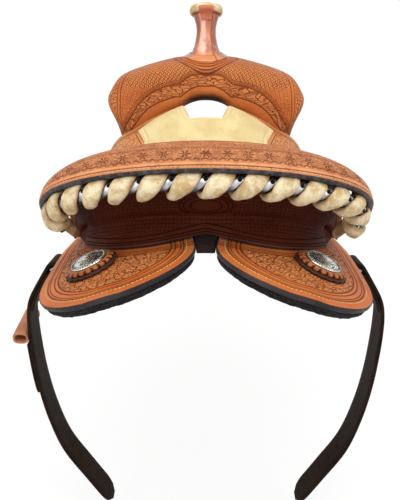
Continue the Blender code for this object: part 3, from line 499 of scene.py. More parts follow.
def leafCarving():
    # Carved flowers among overlapping leaves on a sunk, matted ground
    tree, s, given, out = shaderGroup("leafCarving", {"Vector": None, "Size": 0.03, "Bloom": 1.0},
                                      ["Height", "Ground"])
    cells = s.scaled(given["Vector"], s.over(1.0, given["Size"]))
    flower = s.fed("ShaderNodeTexVoronoi", {"Vector": cells, "Scale": 1.0, "Randomness": 0.55},
                   voronoi_dimensions="2D")
    ax, ay = s.split(s.vector("SUBTRACT", cells, flower["Position"]))[:2]
    spin = s.split(flower["Color"])[0]
    angle = s.timesPlus(spin, 6.28, s.calc("ARCTAN2", ay, ax))
    petals = s.size(s.calc("COSINE", s.times(angle, 2.5)))
    reach = s.timesPlus(s.calc("POWER", petals, 0.6), 0.20, 0.17)
    reach = s.timesPlus(s.minus(1.0, given["Bloom"]), -0.6, reach)
    gap = s.minus(reach, flower["Distance"])
    petal = s.step(gap, 0.0, 0.08)
    veins = s.times(s.calc("COSINE", s.times(angle, 15.0)), 0.16)
    cup = s.step(flower["Distance"], 0.05, 0.08)
    bloom = s.times(petal, s.times(cup, s.plus(veins, 0.84)))
    eye = s.fall(flower["Distance"], 0.03, 0.055)
    bloom = s.most(bloom, s.times(eye, given["Bloom"]))
    swirl = s.noise(cells, 1.3, 1.0, 0.5, out=1)
    bent = s.vector("ADD", cells, s.scaled(s.vector("SUBTRACT", swirl, (0.5, 0.5, 0.5)), 1.1))
    leaves = s.fed("ShaderNodeTexVoronoi",
                   {"Vector": s.vector("MULTIPLY", bent, (2.1, 4.2, 1.0)), "Scale": 1.0},
                   voronoi_dimensions="2D", feature="DISTANCE_TO_EDGE")[0]
    blade = s.step(leaves, 0.02, 0.13)
    crease = s.step(s.size(s.minus(leaves, 0.30)), 0.0, 0.06, 0.8, 1.0)
    blade = s.times(blade, crease)
    edge = s.times(s.step(gap, -0.07, -0.02), s.fall(gap, -0.02, 0.0))
    height = s.most(bloom, s.times(blade, s.step(gap, -0.05, 0.0, 0.8, 0.0)))
    s.join(height, out["Height"])
    ground = s.minus(1.0, s.step(height, 0.0, 0.45))
    s.join(s.most(ground, edge), out["Ground"])
    return tree


def cutLine():
    tree, s, given, out = shaderGroup("cutLine", {"Way": 0.0, "Place": 0.01, "Width": 0.001}, ["Mask"])
    away = s.size(s.minus(given["Way"], given["Place"]))
    s.join(s.fall(s.over(away, given["Width"]), 0.35, 0.75), out["Mask"])
    return tree


def arcRow():
    # A row of small crescent stamps beside a line
    tree, s, given, out = shaderGroup("arcRow", {"Along": 0.0, "Way": 0.0, "Pitch": 0.006, "Place": 0.01},
                                      ["Mask"])
    u = s.minus(s.calc("FRACT", s.over(given["Along"], given["Pitch"])), 0.5)
    v = s.over(s.minus(given["Way"], given["Place"]), given["Pitch"])
    ring = s.fall(s.size(s.minus(s.reach(u, v), 0.38)), 0.05, 0.12)
    s.join(s.times(ring, s.step(v, 0.0, 0.08)), out["Mask"])
    return tree


def starRow():
    # A row of small crossed stamps
    inputs = {"Along": 0.0, "Way": 0.0, "Pitch": 0.018, "Place": 0.024, "Reach": 0.0042}
    tree, s, given, out = shaderGroup("starRow", inputs, ["Mask"])
    u = s.minus(s.calc("FRACT", s.over(given["Along"], given["Pitch"])), 0.5)
    x = s.over(s.times(u, given["Pitch"]), given["Reach"])
    y = s.over(s.minus(given["Way"], given["Place"]), given["Reach"])
    r = s.reach(x, y)
    arms = s.size(s.calc("COSINE", s.times(s.calc("ARCTAN2", y, x), 3.0)))
    shape = s.step(s.minus(s.calc("POWER", arms, 2.0), r), -0.05, 0.12)
    s.join(s.times(shape, s.step(r, 0.12, 0.2)), out["Mask"])
    return tree


groups = {"grain": leatherGrain(), "basket": basketStamp(), "leaves": leafCarving(), "line": cutLine(),
          "arcs": arcRow(), "stars": starRow()}

# Finishes made from the groups


def between(s, way, low, high):
    soft = 0.0006
    return s.times(s.step(way, low - soft, low + soft), s.fall(way, high - soft, high + soft))


def cutAt(s, way, place, width):
    return s.use(groups["line"], Way=way, Place=place, Width=width)["Mask"]


def mottled(s, grain, first, second):
    return s.mix(s.step(grain["Mottle"], 0.35, 0.68), first, second)


def tooledLeather(name, look):
    # Veg-tanned leather with stamped and carved fields, cut lines and rows of stamps; its recesses are
    # darkened by stain and painted shade, and its raised spots carry a painted highlight
    s = newMaterial(name, coat=look.get("coat", 0.03), specular=look.get("specular", 0.14))
    surface, place = s.surface(), s.place()
    grain = s.use(groups["grain"], Vector=place)
    ways = {}

    def way(key):
        if key not in ways:
            ways[key] = s.attribute(key)
        return ways[key]

    height, sunk = 0.5, 0.0
    for field in look.get("fields", []):
        zone = 1.0
        for key, low, high in field["where"]:
            part = between(s, way(key), low, high)
            zone = part if zone == 1.0 else s.times(zone, part)
        if field["kind"] == "basket":
            tops = s.use(groups["basket"], Vector=surface, Cell=field["size"], Turn=field["turn"])["Height"]
            low = s.fall(tops, 0.05, 0.60)
        else:
            lying = s.vector("MULTIPLY", surface, (*field.get("stretch", (1.0, 1.0)), 1.0))
            made = s.use(groups["leaves"], Vector=lying, Size=field["size"], Bloom=field.get("bloom", 1.0))
            tops, low = made["Height"], made["Ground"]
        # How far the field's sunk ground is darkened, by stain and painted shade
        low = s.times(low, field.get("stainAndShade", 0.7))
        height = s.timesPlus(s.minus(tops, 0.5), zone, height)
        sunk = s.most(sunk, s.times(low, zone))
    for key, spot, width in look.get("lines", []):
        mask = cutAt(s, way(key), spot, width)
        sunk = s.most(sunk, mask)
        height = s.minus(height, mask)
    for key, spot, width in look.get("ridges", []):
        height = s.timesPlus(cutAt(s, way(key), spot, width), 0.5, height)
    for row in look.get("rows", []):
        values = dict(Along=way("alongWay"), Way=way(row["way"]), Pitch=row["pitch"], Place=row["at"])
        if "reach" in row:
            values["Reach"] = row["reach"]
        mask = s.times(s.use(groups[row["kind"]], **values)["Mask"], row.get("depth", 1.0))
        sunk = s.most(sunk, mask)
        height = s.minus(height, mask)
    tone = mottled(s, grain, look["colour"], look["warm"])
    if "blotch" in look:
        scale, most, stained = look["blotch"]
        tone = s.mix(s.step(s.noise(place, scale, 4.0, 0.6), 0.48, 0.70, 0.0, most), tone, stained)
    # Painted highlight: raised spots of the relief, ridges among them, are lightened towards the light colour
    high = s.step(height, 0.62, 1.0)
    tone = s.mix(s.times(high, look.get("lift", 0.35)), tone, look["light"])
    # Stain and painted shade: recesses, cut lines and stamp rows are darkened towards the shade colour
    tone = s.mix(s.times(sunk, look.get("stainAndShade", 0.8)), tone, look["shade"])
    # Painted shade: darkening along an attribute, here the shadow inside the swell's hand hole
    for key, dark, clear, amount, shadeTone in look.get("paintedShade", []):
        tone = s.mix(s.step(way(key), dark, clear, amount, 0.0), tone, shadeTone)
    rough = s.timesPlus(sunk, 0.2, look.get("rough", 0.42))
    relief = s.timesPlus(grain["Height"], 0.07, height)
    return s.finish(tone, (grain["Height"], 0.05, rough), relief, look["depth"])


def plainLeather(name, colour, warm, rough=0.5, coat=0.04, depth=0.0002, size=0.0016, specular=0.2):
    s = newMaterial(name, coat=coat, specular=specular)
    grain = s.use(groups["grain"], **{"Vector": s.place(), "Pore Size": size})
    return s.finish(mottled(s, grain, colour, warm), (grain["Mottle"], 0.25, rough - 0.12), grain["Height"],
                    depth)


# Colours and shared finishes

tan = {"colour": (0.50, 0.125, 0.028), "warm": (0.60, 0.175, 0.044), "light": (0.84, 0.37, 0.14),
       "shade": (0.092, 0.015, 0.005)}
redTan = {"colour": (0.53, 0.180, 0.066), "warm": (0.64, 0.250, 0.100), "light": (0.86, 0.46, 0.25),
          "shade": (0.090, 0.022, 0.016)}
# Dark red-brown of the cantle's back, darkened further as painted shade from the roll above
shadedDeepRed = {"colour": (0.068, 0.011, 0.004), "warm": (0.090, 0.016, 0.006), "light": (0.210, 0.052, 0.022),
           "shade": (0.016, 0.003, 0.002)}

edgeInk = plainLeather("edgeInk", (0.024, 0.019, 0.021), (0.060, 0.047, 0.050), rough=0.5, size=0.0024,
                       specular=0.12)
fleshSide = plainLeather("fleshSide", (0.42, 0.20, 0.09), (0.50, 0.26, 0.12), rough=0.85, coat=0.0,
                         depth=0.0004)
smoothTan = plainLeather("smoothTan", (0.60, 0.20, 0.055), (0.68, 0.27, 0.085), rough=0.42)
darkStrap = plainLeather("darkStrap", (0.018, 0.012, 0.011), (0.034, 0.020, 0.015), rough=0.5, specular=0.04)
rosetteEdge = plainLeather("rosetteEdge", (0.040, 0.016, 0.010), (0.075, 0.032, 0.020), rough=0.5,
                           specular=0.10)
gussetShade = plainLeather("gussetShade", (0.052, 0.010, 0.005), (0.074, 0.015, 0.007), rough=0.55, coat=0.0,
                         specular=0.06)
groundHide = plainLeather("groundHide", (0.44, 0.24, 0.11), (0.52, 0.30, 0.15), rough=0.75)
patchTan = plainLeather("patchLeather", (0.55, 0.15, 0.085), (0.66, 0.22, 0.13), rough=0.4, coat=0.3)


def rawhideFinish(name, soil=0.0):
    # Cream rawhide: creases darkened by dirt and painted shade, yellow and pale patches, fine cracks
    s = newMaterial(name, coat=0.06, specular=0.25)
    place = s.place()
    cloud = s.noise(place, 75.0, 5.0, 0.6)
    fine = s.noise(place, 420.0, 4.0, 0.65)
    tone = s.mix(s.step(cloud, 0.36, 0.62), (0.58, 0.41, 0.19), (0.86, 0.75, 0.50))
    tone = s.mix(s.step(fine, 0.50, 0.76, 0.0, 0.7), tone, (0.44, 0.26, 0.10))
    # Dirt and painted shade: darker where the strip's attribute marks its undersides, edges and ends
    dirtAndShade = s.times(s.attribute("dirtAndShade"), s.step(cloud, 0.3, 0.6, 0.85, 0.45))
    tone = s.mix(dirtAndShade, tone, (0.34, 0.17, 0.055))
    tone = s.mix(s.step(cloud, 0.40, 0.62, soil, soil * 0.35), tone, (0.22, 0.11, 0.038))
    return s.finish(tone, (fine, 0.3, 0.38), s.plus(cloud, s.times(fine, 0.35)), 0.0012)


def threadFinish(name, colour, rough=0.6):
    s = newMaterial(name, specular=0.15)
    speck = s.noise(s.place(), 900.0, 2.0)
    darker = tuple(c * 0.6 for c in colour)
    return s.finish(s.mix(s.step(speck, 0.3, 0.7), darker, colour), (speck, 0.2, rough - 0.1))


rawhide = rawhideFinish("rawhide")
paleThread = threadFinish("paleThread", (0.84, 0.60, 0.27))
tanThread = threadFinish("tanThread", (0.70, 0.38, 0.15))
darkThread = threadFinish("darkThread", (0.11, 0.06, 0.035))
# Near-black discs stand in for the shade inside the lace holes
laceHoleShade = threadFinish("laceHoleShade", (0.012, 0.009, 0.008), rough=0.9)
print("finishes ready")

# Skirts and their wool

skirtShape = {"rear": -0.292, "front": 0.318, "half": 0.190, "rearTurn": -0.168, "frontTurn": 0.190,
              "rearApex": 0.098, "frontApex": 0.112, "notch": -0.205, "notchHalf": 0.011,
              "channelHalf": 0.024, "gulletHalf": 0.046, "across": 34, "along": 150}


def quarter(share, near, far, power):
    return near + (far - near) * (1 - (1 - min(share, 1.0) ** power) ** (1 / power))


def skirtEdges(y):
    g = skirtShape
    inner = g["notchHalf"] + (g["channelHalf"] - g["notchHalf"]) * ease((y - g["notch"]) / 0.09)
    inner += (g["gulletHalf"] - g["channelHalf"]) * ease((y - 0.12) / 0.12)
    outer = g["half"]
    if y < g["notch"]:
        share = (g["notch"] - y) / (g["notch"] - g["rear"])
        inner = quarter(share, g["notchHalf"], g["rearApex"], 1.8)
    if y < g["rearTurn"]:
        share = (g["rearTurn"] - y) / (g["rearTurn"] - g["rear"])
        outer = quarter(share, g["half"], g["rearApex"], 2.1)
    if y > g["frontTurn"]:
        share = (y - g["frontTurn"]) / (g["front"] - g["frontTurn"])
        inner = quarter(share, g["gulletHalf"], g["frontApex"], 2.0)
        outer = quarter(share, g["half"], g["frontApex"], 2.1)
    return inner, outer


def skirtGrid(lift, inset):
    g, grid = skirtShape, []
    for i in range(g["across"] + 1):
        row = []
        for k in range(g["along"] + 1):
            swing = 0.004 + 0.992 * (1 - math.cos(math.pi * k / g["along"])) / 2
            y = g["rear"] + (g["front"] - g["rear"]) * swing
            inner, outer = skirtEdges(y)
            half = (outer - inner) / 2
            half = max(half - inset, half * 0.7)
            x = (inner + outer) / 2 + half * (2 * i / g["across"] - 1)
            row.append(onBack(x, y, lift))
        grid.append(row)
    return np.array(grid)


def flatBack(grid):
    # Surface coordinates of a piece that lies on the horse's back, in metres
    x, y = grid[..., 0], grid[..., 1]
    spread = np.array([through(backLine, v)[1] for v in y.ravel()]).reshape(y.shape)
    return np.stack([x + (2 * spread * x) ** 2 * x / 6, y], axis=-1)


skirtLook = {
    **tan, "depth": 0.0015, "lift": 0.85, "coat": 0.0, "specular": 0.09,
    "blotch": (24.0, 0.42, (0.38, 0.066, 0.014)),
    "fields": [{"kind": "leaves", "size": 0.0175, "stainAndShade": 1.0,
                "where": [("edgeWay", 0.0275, 1.0), ("cantleWay", 0.012, 1.0)]}],
    "lines": [("edgeWay", 0.0125, 0.0012), ("edgeWay", 0.0155, 0.0009), ("edgeWay", 0.0215, 0.0012),
              ("edgeWay", 0.0262, 0.0014), ("cantleWay", 0.0045, 0.0012), ("cantleWay", 0.0085, 0.0012),
              ("cantleWay", 0.0125, 0.0014)],
}
skirtFinish = tooledLeather("skirtLeather", skirtLook)


footShape = {"half": 0.147, "place": -0.178, "sweep": 0.060, "bow": 0.022, "bowHalf": 0.140}


def cantleFoot(fall, x):
    # Where the cantle's back stands on the skirts
    g = footShape
    return g["place"] + g["sweep"] * fall - g["bow"] * math.sin(math.pi * min(abs(x) / g["bowHalf"], 1.0))


def buildSkirts():
    top = skirtGrid(0.0, 0.0)
    bottom = skirtGrid(-leather["skirt"], 0.0)
    ways, alongs = wayToLine(top, outline(top))
    half = footShape["half"]
    foot = np.array([onBack(half * s, cantleFoot(1 - math.sqrt(max(1 - s * s, 0.0)), half * s), 0.0)
                     for s in span(0.0, 0.98, 60)])
    x, y = top.reshape(-1, 3)[:, :2].T
    behind = y < np.interp(x, foot[:, 0], foot[:, 1], right=-0.05)
    cantleWays = np.where(behind, wayToLine(top, foot)[0], 0.001)
    high = skirtGrid(-leather["skirt"] - leather["gap"], leather["fleeceInset"])
    low = skirtGrid(-leather["skirt"] - leather["gap"] - leather["fleece"], leather["fleeceInset"])
    for spot in np.ndindex(low.shape[:2]):
        tuft = noise.fractal(Vector(low[spot]) * 150.0, 1.0, 2.0, 3)
        low[spot] += (high[spot] - low[spot]) * (0.08 + 0.10 * tuft)
    values = {"edgeWay": ways, "alongWay": alongs, "cantleWay": cantleWays}
    for side, flip in bothSides:
        uvs = flatBack(top) * flip[:2]
        skirt = sheetPiece(side + "Skirt", top * flip, bottom * flip, [skirtFinish, edgeInk, fleshSide],
                           uvs, values, roundness=0.0016)
        placed(skirt, "skirt_" + side, slot="tooled")
        wool = sheetPiece(side + "Fleece", high * flip, low * flip, [woolFinish] * 3, uvs, roundness=0.002)
        placed(wool, "fleece_" + side, slot="fleece")
    return top.mean(axis=(0, 1)), outline(top)


def darkWool():
    s = newMaterial("darkWool", roughness=0.95, sheen=0.05, specular=0.08)
    curls = s.noise(s.place(), 420.0, 4.0, 0.7)
    tone = s.mix(s.step(curls, 0.35, 0.7), (0.006, 0.005, 0.007), (0.034, 0.028, 0.030))
    return s.finish(tone, None, curls, 0.002)


woolFinish = darkWool()
skirtCentre, skirtOutline = buildSkirts()
print("skirts and fleece ready")

# Swell cover over the fork

forkShape = {
    "arch": [(0.00, 0.000, 0.1645, 0.000, 0.232), (0.06, 0.010, 0.1640, 0.0166, 0.230),
             (0.14, 0.0232, 0.1600, 0.0387, 0.2274), (0.22, 0.036, 0.1526, 0.060, 0.224),
             (0.42, 0.0595, 0.1375, 0.108, 0.211), (0.58, 0.074, 0.120, 0.141, 0.197),
             (0.70, 0.081, 0.103, 0.156, 0.178), (0.80, 0.086, 0.090, 0.161, 0.160),
             (0.90, 0.091, 0.078, 0.146, 0.122), (1.00, 0.094, 0.064, 0.126, 0.040)],
    "middle": 0.214, "halfDepth": 0.050, "taper": 0.005, "lean": 0.004, "square": 3.4,
    "foot": 0.93, "wrap": math.radians(48), "around": 110, "across": 90, "stretch": 1.25,
    # Lengths from the hem to the two carved lines above it, at places from the middle to the foot
    "hemLine": [(0.00, 0.0256), (0.05, 0.0265), (0.11, 0.0248), (0.16, 0.0215), (0.20, 0.0193),
                (0.235, 0.0232), (0.27, 0.0246), (0.36, 0.0274), (0.48, 0.0312), (0.63, 0.0348),
                (0.80, 0.0420), (1.00, 0.0490)],
    "leafLine": [(0.00, 0.0435), (0.09, 0.0448), (0.14, 0.0416), (0.18, 0.0377), (0.22, 0.0408),
                 (0.29, 0.0446), (0.38, 0.0467), (0.47, 0.0477), (0.61, 0.0482), (0.80, 0.0530),
                 (1.00, 0.0580)],
    "hornOval": (0.051, 0.050), "hornSquare": 1.8, "hornMiddle": 0.004, "hornFloor": 0.19,
    "endOval": (0.5, 0.074), "endScale": 0.062, "holeHalf": 0.058,
}


def forkPoint(share, turn, grow):
    g = forkShape
    ix, iz, ox, oz = through(g["arch"], share)
    inner, outer = np.array([ix, iz]), np.array([ox, oz])
    reach = np.linalg.norm(outer - inner)
    inner, outer = inner - grow * (outer - inner) / reach, outer + grow * (outer - inner) / reach
    power = 2 / g["square"]
    depth, height = squarer(math.cos(turn), power), squarer(math.sin(turn), power)
    spot = inner + (outer - inner) * (height + 1) / 2
    half = g["halfDepth"] - g["taper"] * height + grow
    return np.array([spot[0], g["middle"] + g["lean"] * height + half * depth, spot[1]])


coverLook = {
    # The hand hole's edge is darkened to near black as painted shade
    **tan, "depth": 0.0016, "lift": 0.68, "paintedShade": [("holeWay", 0.30, 0.84, 0.97, (0.012, 0.005, 0.003))],
    "blotch": (34.0, 0.35, (0.36, 0.075, 0.020)),
    "fields": [{"kind": "basket", "size": 0.0058, "turn": 0.75, "stainAndShade": 0.95,
                "where": [("leafWay", 0.0040, 1.0), ("hornWay", 0.0515, 1.0), ("endWay", 0.0020, 1.0)]},
               {"kind": "basket", "size": 0.0058, "turn": 0.75, "stainAndShade": 0.95,
                "where": [("leafWay", 0.0040, 1.0), ("endWay", -1.0, -0.0065)]},
               {"kind": "leaves", "size": 0.0150, "stretch": (0.36, 1.0), "bloom": 0.0, "stainAndShade": 0.9,
                "where": [("hemWay", 0.0012, 1.0), ("leafWay", -1.0, -0.0012)]}],
    "lines": [("hemWay", 0.0, 0.0013), ("leafWay", 0.0, 0.0014), ("hornWay", 0.0400, 0.0011),
              ("hornWay", 0.0436, 0.0012), ("hornWay", 0.0474, 0.0010), ("hornWay", 0.0505, 0.0015),
              ("endWay", 0.0, 0.0009), ("endWay", -0.0045, 0.0006)],
    "rows": [{"kind": "arcs", "way": "leafWay", "pitch": 0.0062, "at": 0.0008, "depth": 0.8},
             {"kind": "arcs", "way": "leafWay", "pitch": 0.0062, "at": 0.0042, "depth": 0.5}],
}


def buildCover():
    g = forkShape
    whole = math.pi + 2 * g["wrap"]
    turns = [-g["wrap"] + whole * k / g["around"] for k in range(g["around"] + 1)]
    shares = span(0.0, g["foot"], g["across"])
    top = mirrored([[forkPoint(s, t, 0.0) for t in turns] for s in shares])
    under = mirrored([[forkPoint(s, t, -leather["cover"]) for t in turns] for s in shares])
    signed = [-s for s in shares[:0:-1]] + shares
    (hornX, hornY), square = g["hornOval"], g["hornSquare"]
    endShare, endLength = g["endOval"]
    values = {key: [] for key in ("hemWay", "leafWay", "alongWay", "hornWay", "endWay", "holeWay")}
    uvs = []
    for share, row in zip(signed, top):
        length = arcLengths(row)
        total = length[-1]
        side = abs(row[len(row) // 2][0])
        hemLine = np.interp(abs(share), *zip(*g["hemLine"]))
        leafLine = np.interp(abs(share), *zip(*g["leafLine"]))
        for p, way in zip(row, length):
            near = min(way, total - way)
            bow = ((abs(p[0]) / hornX) ** square
                   + (abs(p[1] - g["middle"] - g["hornMiddle"]) / hornY) ** square)
            oval = math.hypot((1 - abs(share)) / endShare, (near - total / 2) / endLength)
            made = (near - hemLine, near - leafLine, side * g["stretch"] + 1.0,
                    hornY * bow ** (1 / square) if p[2] > g["hornFloor"] else 1.0,
                    (oval - 1) * g["endScale"], max(near / hemLine, abs(p[0]) / g["holeHalf"]))
            for column, value in zip(values.values(), made):
                column.append(value)
            uvs.append((math.copysign(side, share) * g["stretch"], way))
    cover = sheetPiece("swellCover", top, under,
                       [tooledLeather("coverLeather", coverLook), smoothTan, fleshSide],
                       uvs, values, roundness=0.0012)
    placed(cover, "swell_cover", slot="tooled")
    return cover


swellCover = buildCover()
coverTree = BVHTree.FromObject(swellCover, bpy.context.evaluated_depsgraph_get())
print("swell cover ready")

# Horn: leather-wrapped neck, patch, cap with a rawhide rim

hornShape = {"base": (0.0, 0.218, 0.226), "tilt": math.radians(20), "top": 0.020, "height": 0.0675,
             "capWide": 0.0265, "capLong": 0.030, "capThick": 0.013, "rim": 0.005, "bore": 0.0083,
             "probe": 0.05, "sides": 96, "lap": math.radians(68), "patchSweep": 52, "patchThick": 0.0012}


def leaned(x, y, z):
    g = hornShape
    c, s = math.cos(g["tilt"]), math.sin(g["tilt"])
    bx, by, bz = g["base"]
    return np.array([bx + x, by + y * c + z * s, bz - y * s + z * c])


def hornUp():
    return Vector(leaned(0, 0, 1) - leaned(0, 0, 0))


def coverBelow(x, y):
    probe = hornShape["probe"]
    hit = coverTree.ray_cast(Vector(leaned(x, y, probe)), -hornUp())
    return probe - hit[3] if hit[0] is not None else -0.02


def hornNeck():
    g = hornShape
    profile = [(0.0350, -0.030, 0.0006), (0.0343, -0.029, 0.0022), (0.0310, -0.020, 0.0034),
               (0.0272, -0.006, 0.0050), (0.0245, 0.004, 0.0), (0.0222, 0.012, 0.0), (0.0190, 0.020, 0.0),
               (0.0173, 0.028, 0.0), (0.0160, 0.035, 0.0), (0.0155, 0.042, 0.0), (0.0159, 0.049, 0.0),
               (0.0172, 0.055, 0.0), (0.0190, 0.061, 0.0), (g["top"], g["height"], 0.0),
               (g["bore"], g["height"], 0.0)]
    fine = throughAll(profile)
    rings, uvs, seam = [], [], []
    for turn in circle(g["sides"]):
        # The wrap's lap shows as a low ridge a little off the middle at the back
        lap = math.atan2(math.sin(turn + g["lap"]), math.cos(turn + g["lap"]))
        ring = []
        for r, z, lift in fine:
            x, y = r * math.cos(turn), r * math.sin(turn)
            ground = coverBelow(x, y) if r > 0.022 else -1.0
            height = max(z, ground + 0.0004 + lift) if z < 0.02 else z
            ridge = 0.0007 * math.exp(-(lap / 0.10) ** 2) * ease(z / 0.02) * ease((0.06 - z) / 0.02)
            wrinkle = 0.00035 * noise.noise(Vector((x * 70, y * 70, z * 28)))
            grow = (r + ridge + wrinkle) / r
            ring.append(leaned(x * grow, y * grow, height))
            uvs.append((turn * g["top"], z))
        ring.append(leaned(g["bore"] * math.cos(turn), g["bore"] * math.sin(turn), 0.012))
        uvs.append((turn * g["top"], 0.012))
        seam += [lap] * len(ring)
        rings.append(ring)
    return rings, uvs, seam


def wrapLeather():
    s = newMaterial("wrapLeather", coat=0.55, coatRough=0.16, specular=0.4)
    place = s.place()
    grain = s.use(groups["grain"], Vector=place)
    height = s.split(place)[2]
    streaks = s.noise(s.vector("MULTIPLY", place, (90.0, 90.0, 14.0)), 1.0, 5.0, 0.6)
    tone = s.mix(s.step(streaks, 0.35, 0.7), (0.34, 0.060, 0.022), (0.66, 0.230, 0.105))
    lower = s.fall(height, 0.233, 0.243)
    tone = s.mix(lower, tone, (0.66, 0.22, 0.055))
    lap = s.attribute("lapWay")
    # A highlight is painted palest at the back left of the wrap, broken up by the streaks, and shade is
    # painted towards its sides
    wearAndHighlight = s.step(s.size(s.plus(lap, 0.72)), 0.10, 0.42, 0.85, 0.0)
    wearAndHighlight = s.times(wearAndHighlight, s.step(streaks, 0.25, 0.55, 0.35, 1.0))
    tone = s.mix(s.times(wearAndHighlight, s.minus(1.0, lower)), tone, (0.92, 0.56, 0.43))
    # Painted shade towards the sides of the wrap
    side = s.step(s.size(s.plus(lap, 0.40)), 0.62, 1.15, 0.0, 0.7)
    tone = s.mix(side, tone, (0.20, 0.034, 0.014))
    crease = s.fall(s.size(s.minus(lap, 0.13)), 0.02, 0.07)
    tone = s.mix(s.times(crease, 0.7), tone, (0.18, 0.032, 0.012))
    return s.finish(tone, (streaks, 0.3, 0.10), s.minus(s.times(grain["Height"], 0.25), crease), 0.0005)


def ellipseRings(profile):
    # Rings of a turned form stretched to the cap's length, standing on the horn's axis
    stretch = hornShape["capLong"] / hornShape["capWide"]
    return [[leaned(r * math.cos(t), r * stretch * math.sin(t), z) for r, z in profile]
            for t in circle(72)]


def buildHorn():
    g = hornShape
    rings, uvs, seam = hornNeck()
    neck = loftPiece("hornWrap", rings, [wrapLeather()], closed=True, uvs=uvs, values={"lapWay": seam})
    placed(neck, "horn_wrap", slot="tooled")
    low = g["height"] + leather["gap"]
    inside = g["capWide"] - g["rim"]
    capTop = throughAll([(inside - 0.0015, low + 0.0062), (inside, low + 0.0085),
                        (inside - 0.0006, low + g["capThick"] - 0.0010),
                        (inside - 0.005, low + g["capThick"] + 0.0002),
                        (0.006, low + g["capThick"] + 0.0011), (0.0006, low + g["capThick"] + 0.0012)])
    rings = [list(r) for r in zip(*ellipseRings(capTop))]
    cap = loftPiece("hornCap", rings, [smoothTan])
    placed(cap, "horn_cap", slot="tooled")
    ringIn, wide = inside + leather["gap"], g["capWide"]
    rim = throughAll([(ringIn, low + 0.0008), (wide - 0.0018, low + 0.0006), (wide - 0.0002, low + 0.004),
                      (wide, low + 0.0075), (wide - 0.0012, low + g["capThick"] - 0.0018),
                      (ringIn + 0.0006, low + g["capThick"] - 0.0002)])
    rings = ellipseRings(rim)
    for ring in rings:
        for k, p in enumerate(ring):
            lump = noise.noise(Vector(p) * 90) * 0.0005
            centre = leaned(0, 0, low + 0.006)
            ring[k] = p + (p - centre) / np.linalg.norm(p - centre) * lump
    rimPiece = loftPiece("hornCapRim", rings, [rawhide], closed=True)
    placed(rimPiece, "horn_cap_rim", slot="rawhide")
    # A leather patch laps over the rim at the back and runs down into the neck
    patchTop, patchUnder, patchUvs = [], [], []
    line = throughAll([(g["top"] - 0.0008, low - 0.012), (g["top"] + 0.0016, low - 0.004),
                       (wide + 0.0002, low + 0.0010), (wide + 0.0012, low + 0.0040),
                       (wide + 0.0012, low + 0.0070)], 4)
    stretch = g["capLong"] / g["capWide"]
    for n in range(15):
        turn = math.radians(-90 - g["patchSweep"] / 2 + g["patchSweep"] * n / 14)
        for grid, thin in ((patchTop, 0.0), (patchUnder, g["patchThick"])):
            grid.append([])
            for r, z in line:
                grow = 1 + (stretch - 1) * ease((z - low + 0.006) / 0.008)
                grid[-1].append(leaned((r - thin) * math.cos(turn), (r - thin) * grow * math.sin(turn), z))
        patchUvs += [(turn * r, z) for r, z in line]
    patch = sheetPiece("hornPatch", patchTop, patchUnder, [patchTan] * 3, patchUvs, roundness=0.0006)
    placed(patch, slot="tooled")


buildHorn()
print("horn ready")

# Rows of stitches, beads and holes, made along lines


def rowTree(kind):
    # Repeats one small form along a line of points: a stitch, a bead or a round hole
    tree = bpy.data.node_groups.new(kind + "Row", "GeometryNodeTree")
    face = tree.interface
    face.new_socket("Line", in_out="INPUT", socket_type="NodeSocketGeometry")
    for label, value in (("Pitch", 0.005), ("Long", 0.003), ("Wide", 0.001), ("Lean", 0.0)):
        face.new_socket(label, in_out="INPUT", socket_type="NodeSocketFloat").default_value = value
    face.new_socket("Finish", in_out="INPUT", socket_type="NodeSocketMaterial")
    face.new_socket("Row", in_out="OUTPUT", socket_type="NodeSocketGeometry")
    s = NodeSketch(tree)
    given, result = s.add("NodeGroupInput").outputs, s.add("NodeGroupOutput").inputs
    curve = s.fed("GeometryNodeMeshToCurve", {0: given["Line"]})[0]
    spots = s.fed("GeometryNodeCurveToPoints", {"Curve": curve, "Length": given["Pitch"]}, mode="LENGTH")
    if kind == "hole":
        form = s.fed("GeometryNodeMeshCylinder", {"Vertices": 12, "Radius": 1.0, "Depth": 2.0})["Mesh"]
    else:
        form = s.fed("GeometryNodeMeshUVSphere", {"Segments": 7, "Rings": 5, "Radius": 1.0})["Mesh"]
    size = s.combine(given["Wide"], given["Wide"], given["Long"])
    lean = s.fed("FunctionNodeEulerToRotation", {0: s.combine(given["Lean"])})[0]
    turn = s.fed("FunctionNodeRotateRotation", {0: spots["Rotation"], 1: lean}, rotation_space="LOCAL")[0]
    copies = s.fed("GeometryNodeInstanceOnPoints",
                   {"Points": spots["Points"], "Instance": form, "Rotation": turn, "Scale": size})[0]
    real = s.fed("GeometryNodeRealizeInstances", {0: copies})[0]
    smooth = s.fed("GeometryNodeSetShadeSmooth", {0: real})[0]
    row = s.fed("GeometryNodeSetMaterial", {"Geometry": smooth, "Material": given["Finish"]})[0]
    s.join(row, result["Row"])
    return tree


rowTrees = {kind: rowTree(kind) for kind in ("stitch", "hole")}


def rowAlong(name, lines, finish, sizes, kind="stitch", body=saddleBody):
    # The sizes are the pitch, half the form's length and width, and its lean
    verts, edges = [], []
    for line in lines:
        start = len(verts)
        verts += [tuple(p) for p in line]
        edges += [(start + k, start + k + 1) for k in range(len(line) - 1)]
    mesh = bpy.data.meshes.new(name + "Line")
    mesh.from_pydata(verts, edges, [])
    holder = linked(name + "Line", mesh)
    tree = rowTrees[kind]
    modifier = holder.modifiers.new("row", "NODES")
    modifier.node_group = tree
    wanted = dict(zip(("Pitch", "Long", "Wide", "Lean"), (*sizes, 0.0)), Finish=finish)
    for item in tree.interface.items_tree:
        if item.in_out == "INPUT" and item.name in wanted:
            modifier[item.identifier] = wanted[item.name]
    evaluated = holder.evaluated_get(bpy.context.evaluated_depsgraph_get())
    made = bpy.data.meshes.new_from_object(evaluated)
    made.name = name
    bpy.data.objects.remove(holder)
    return placed(linked(name, made), body=body)


# Seat leather with its jockeys, and the suede pad sewn on it

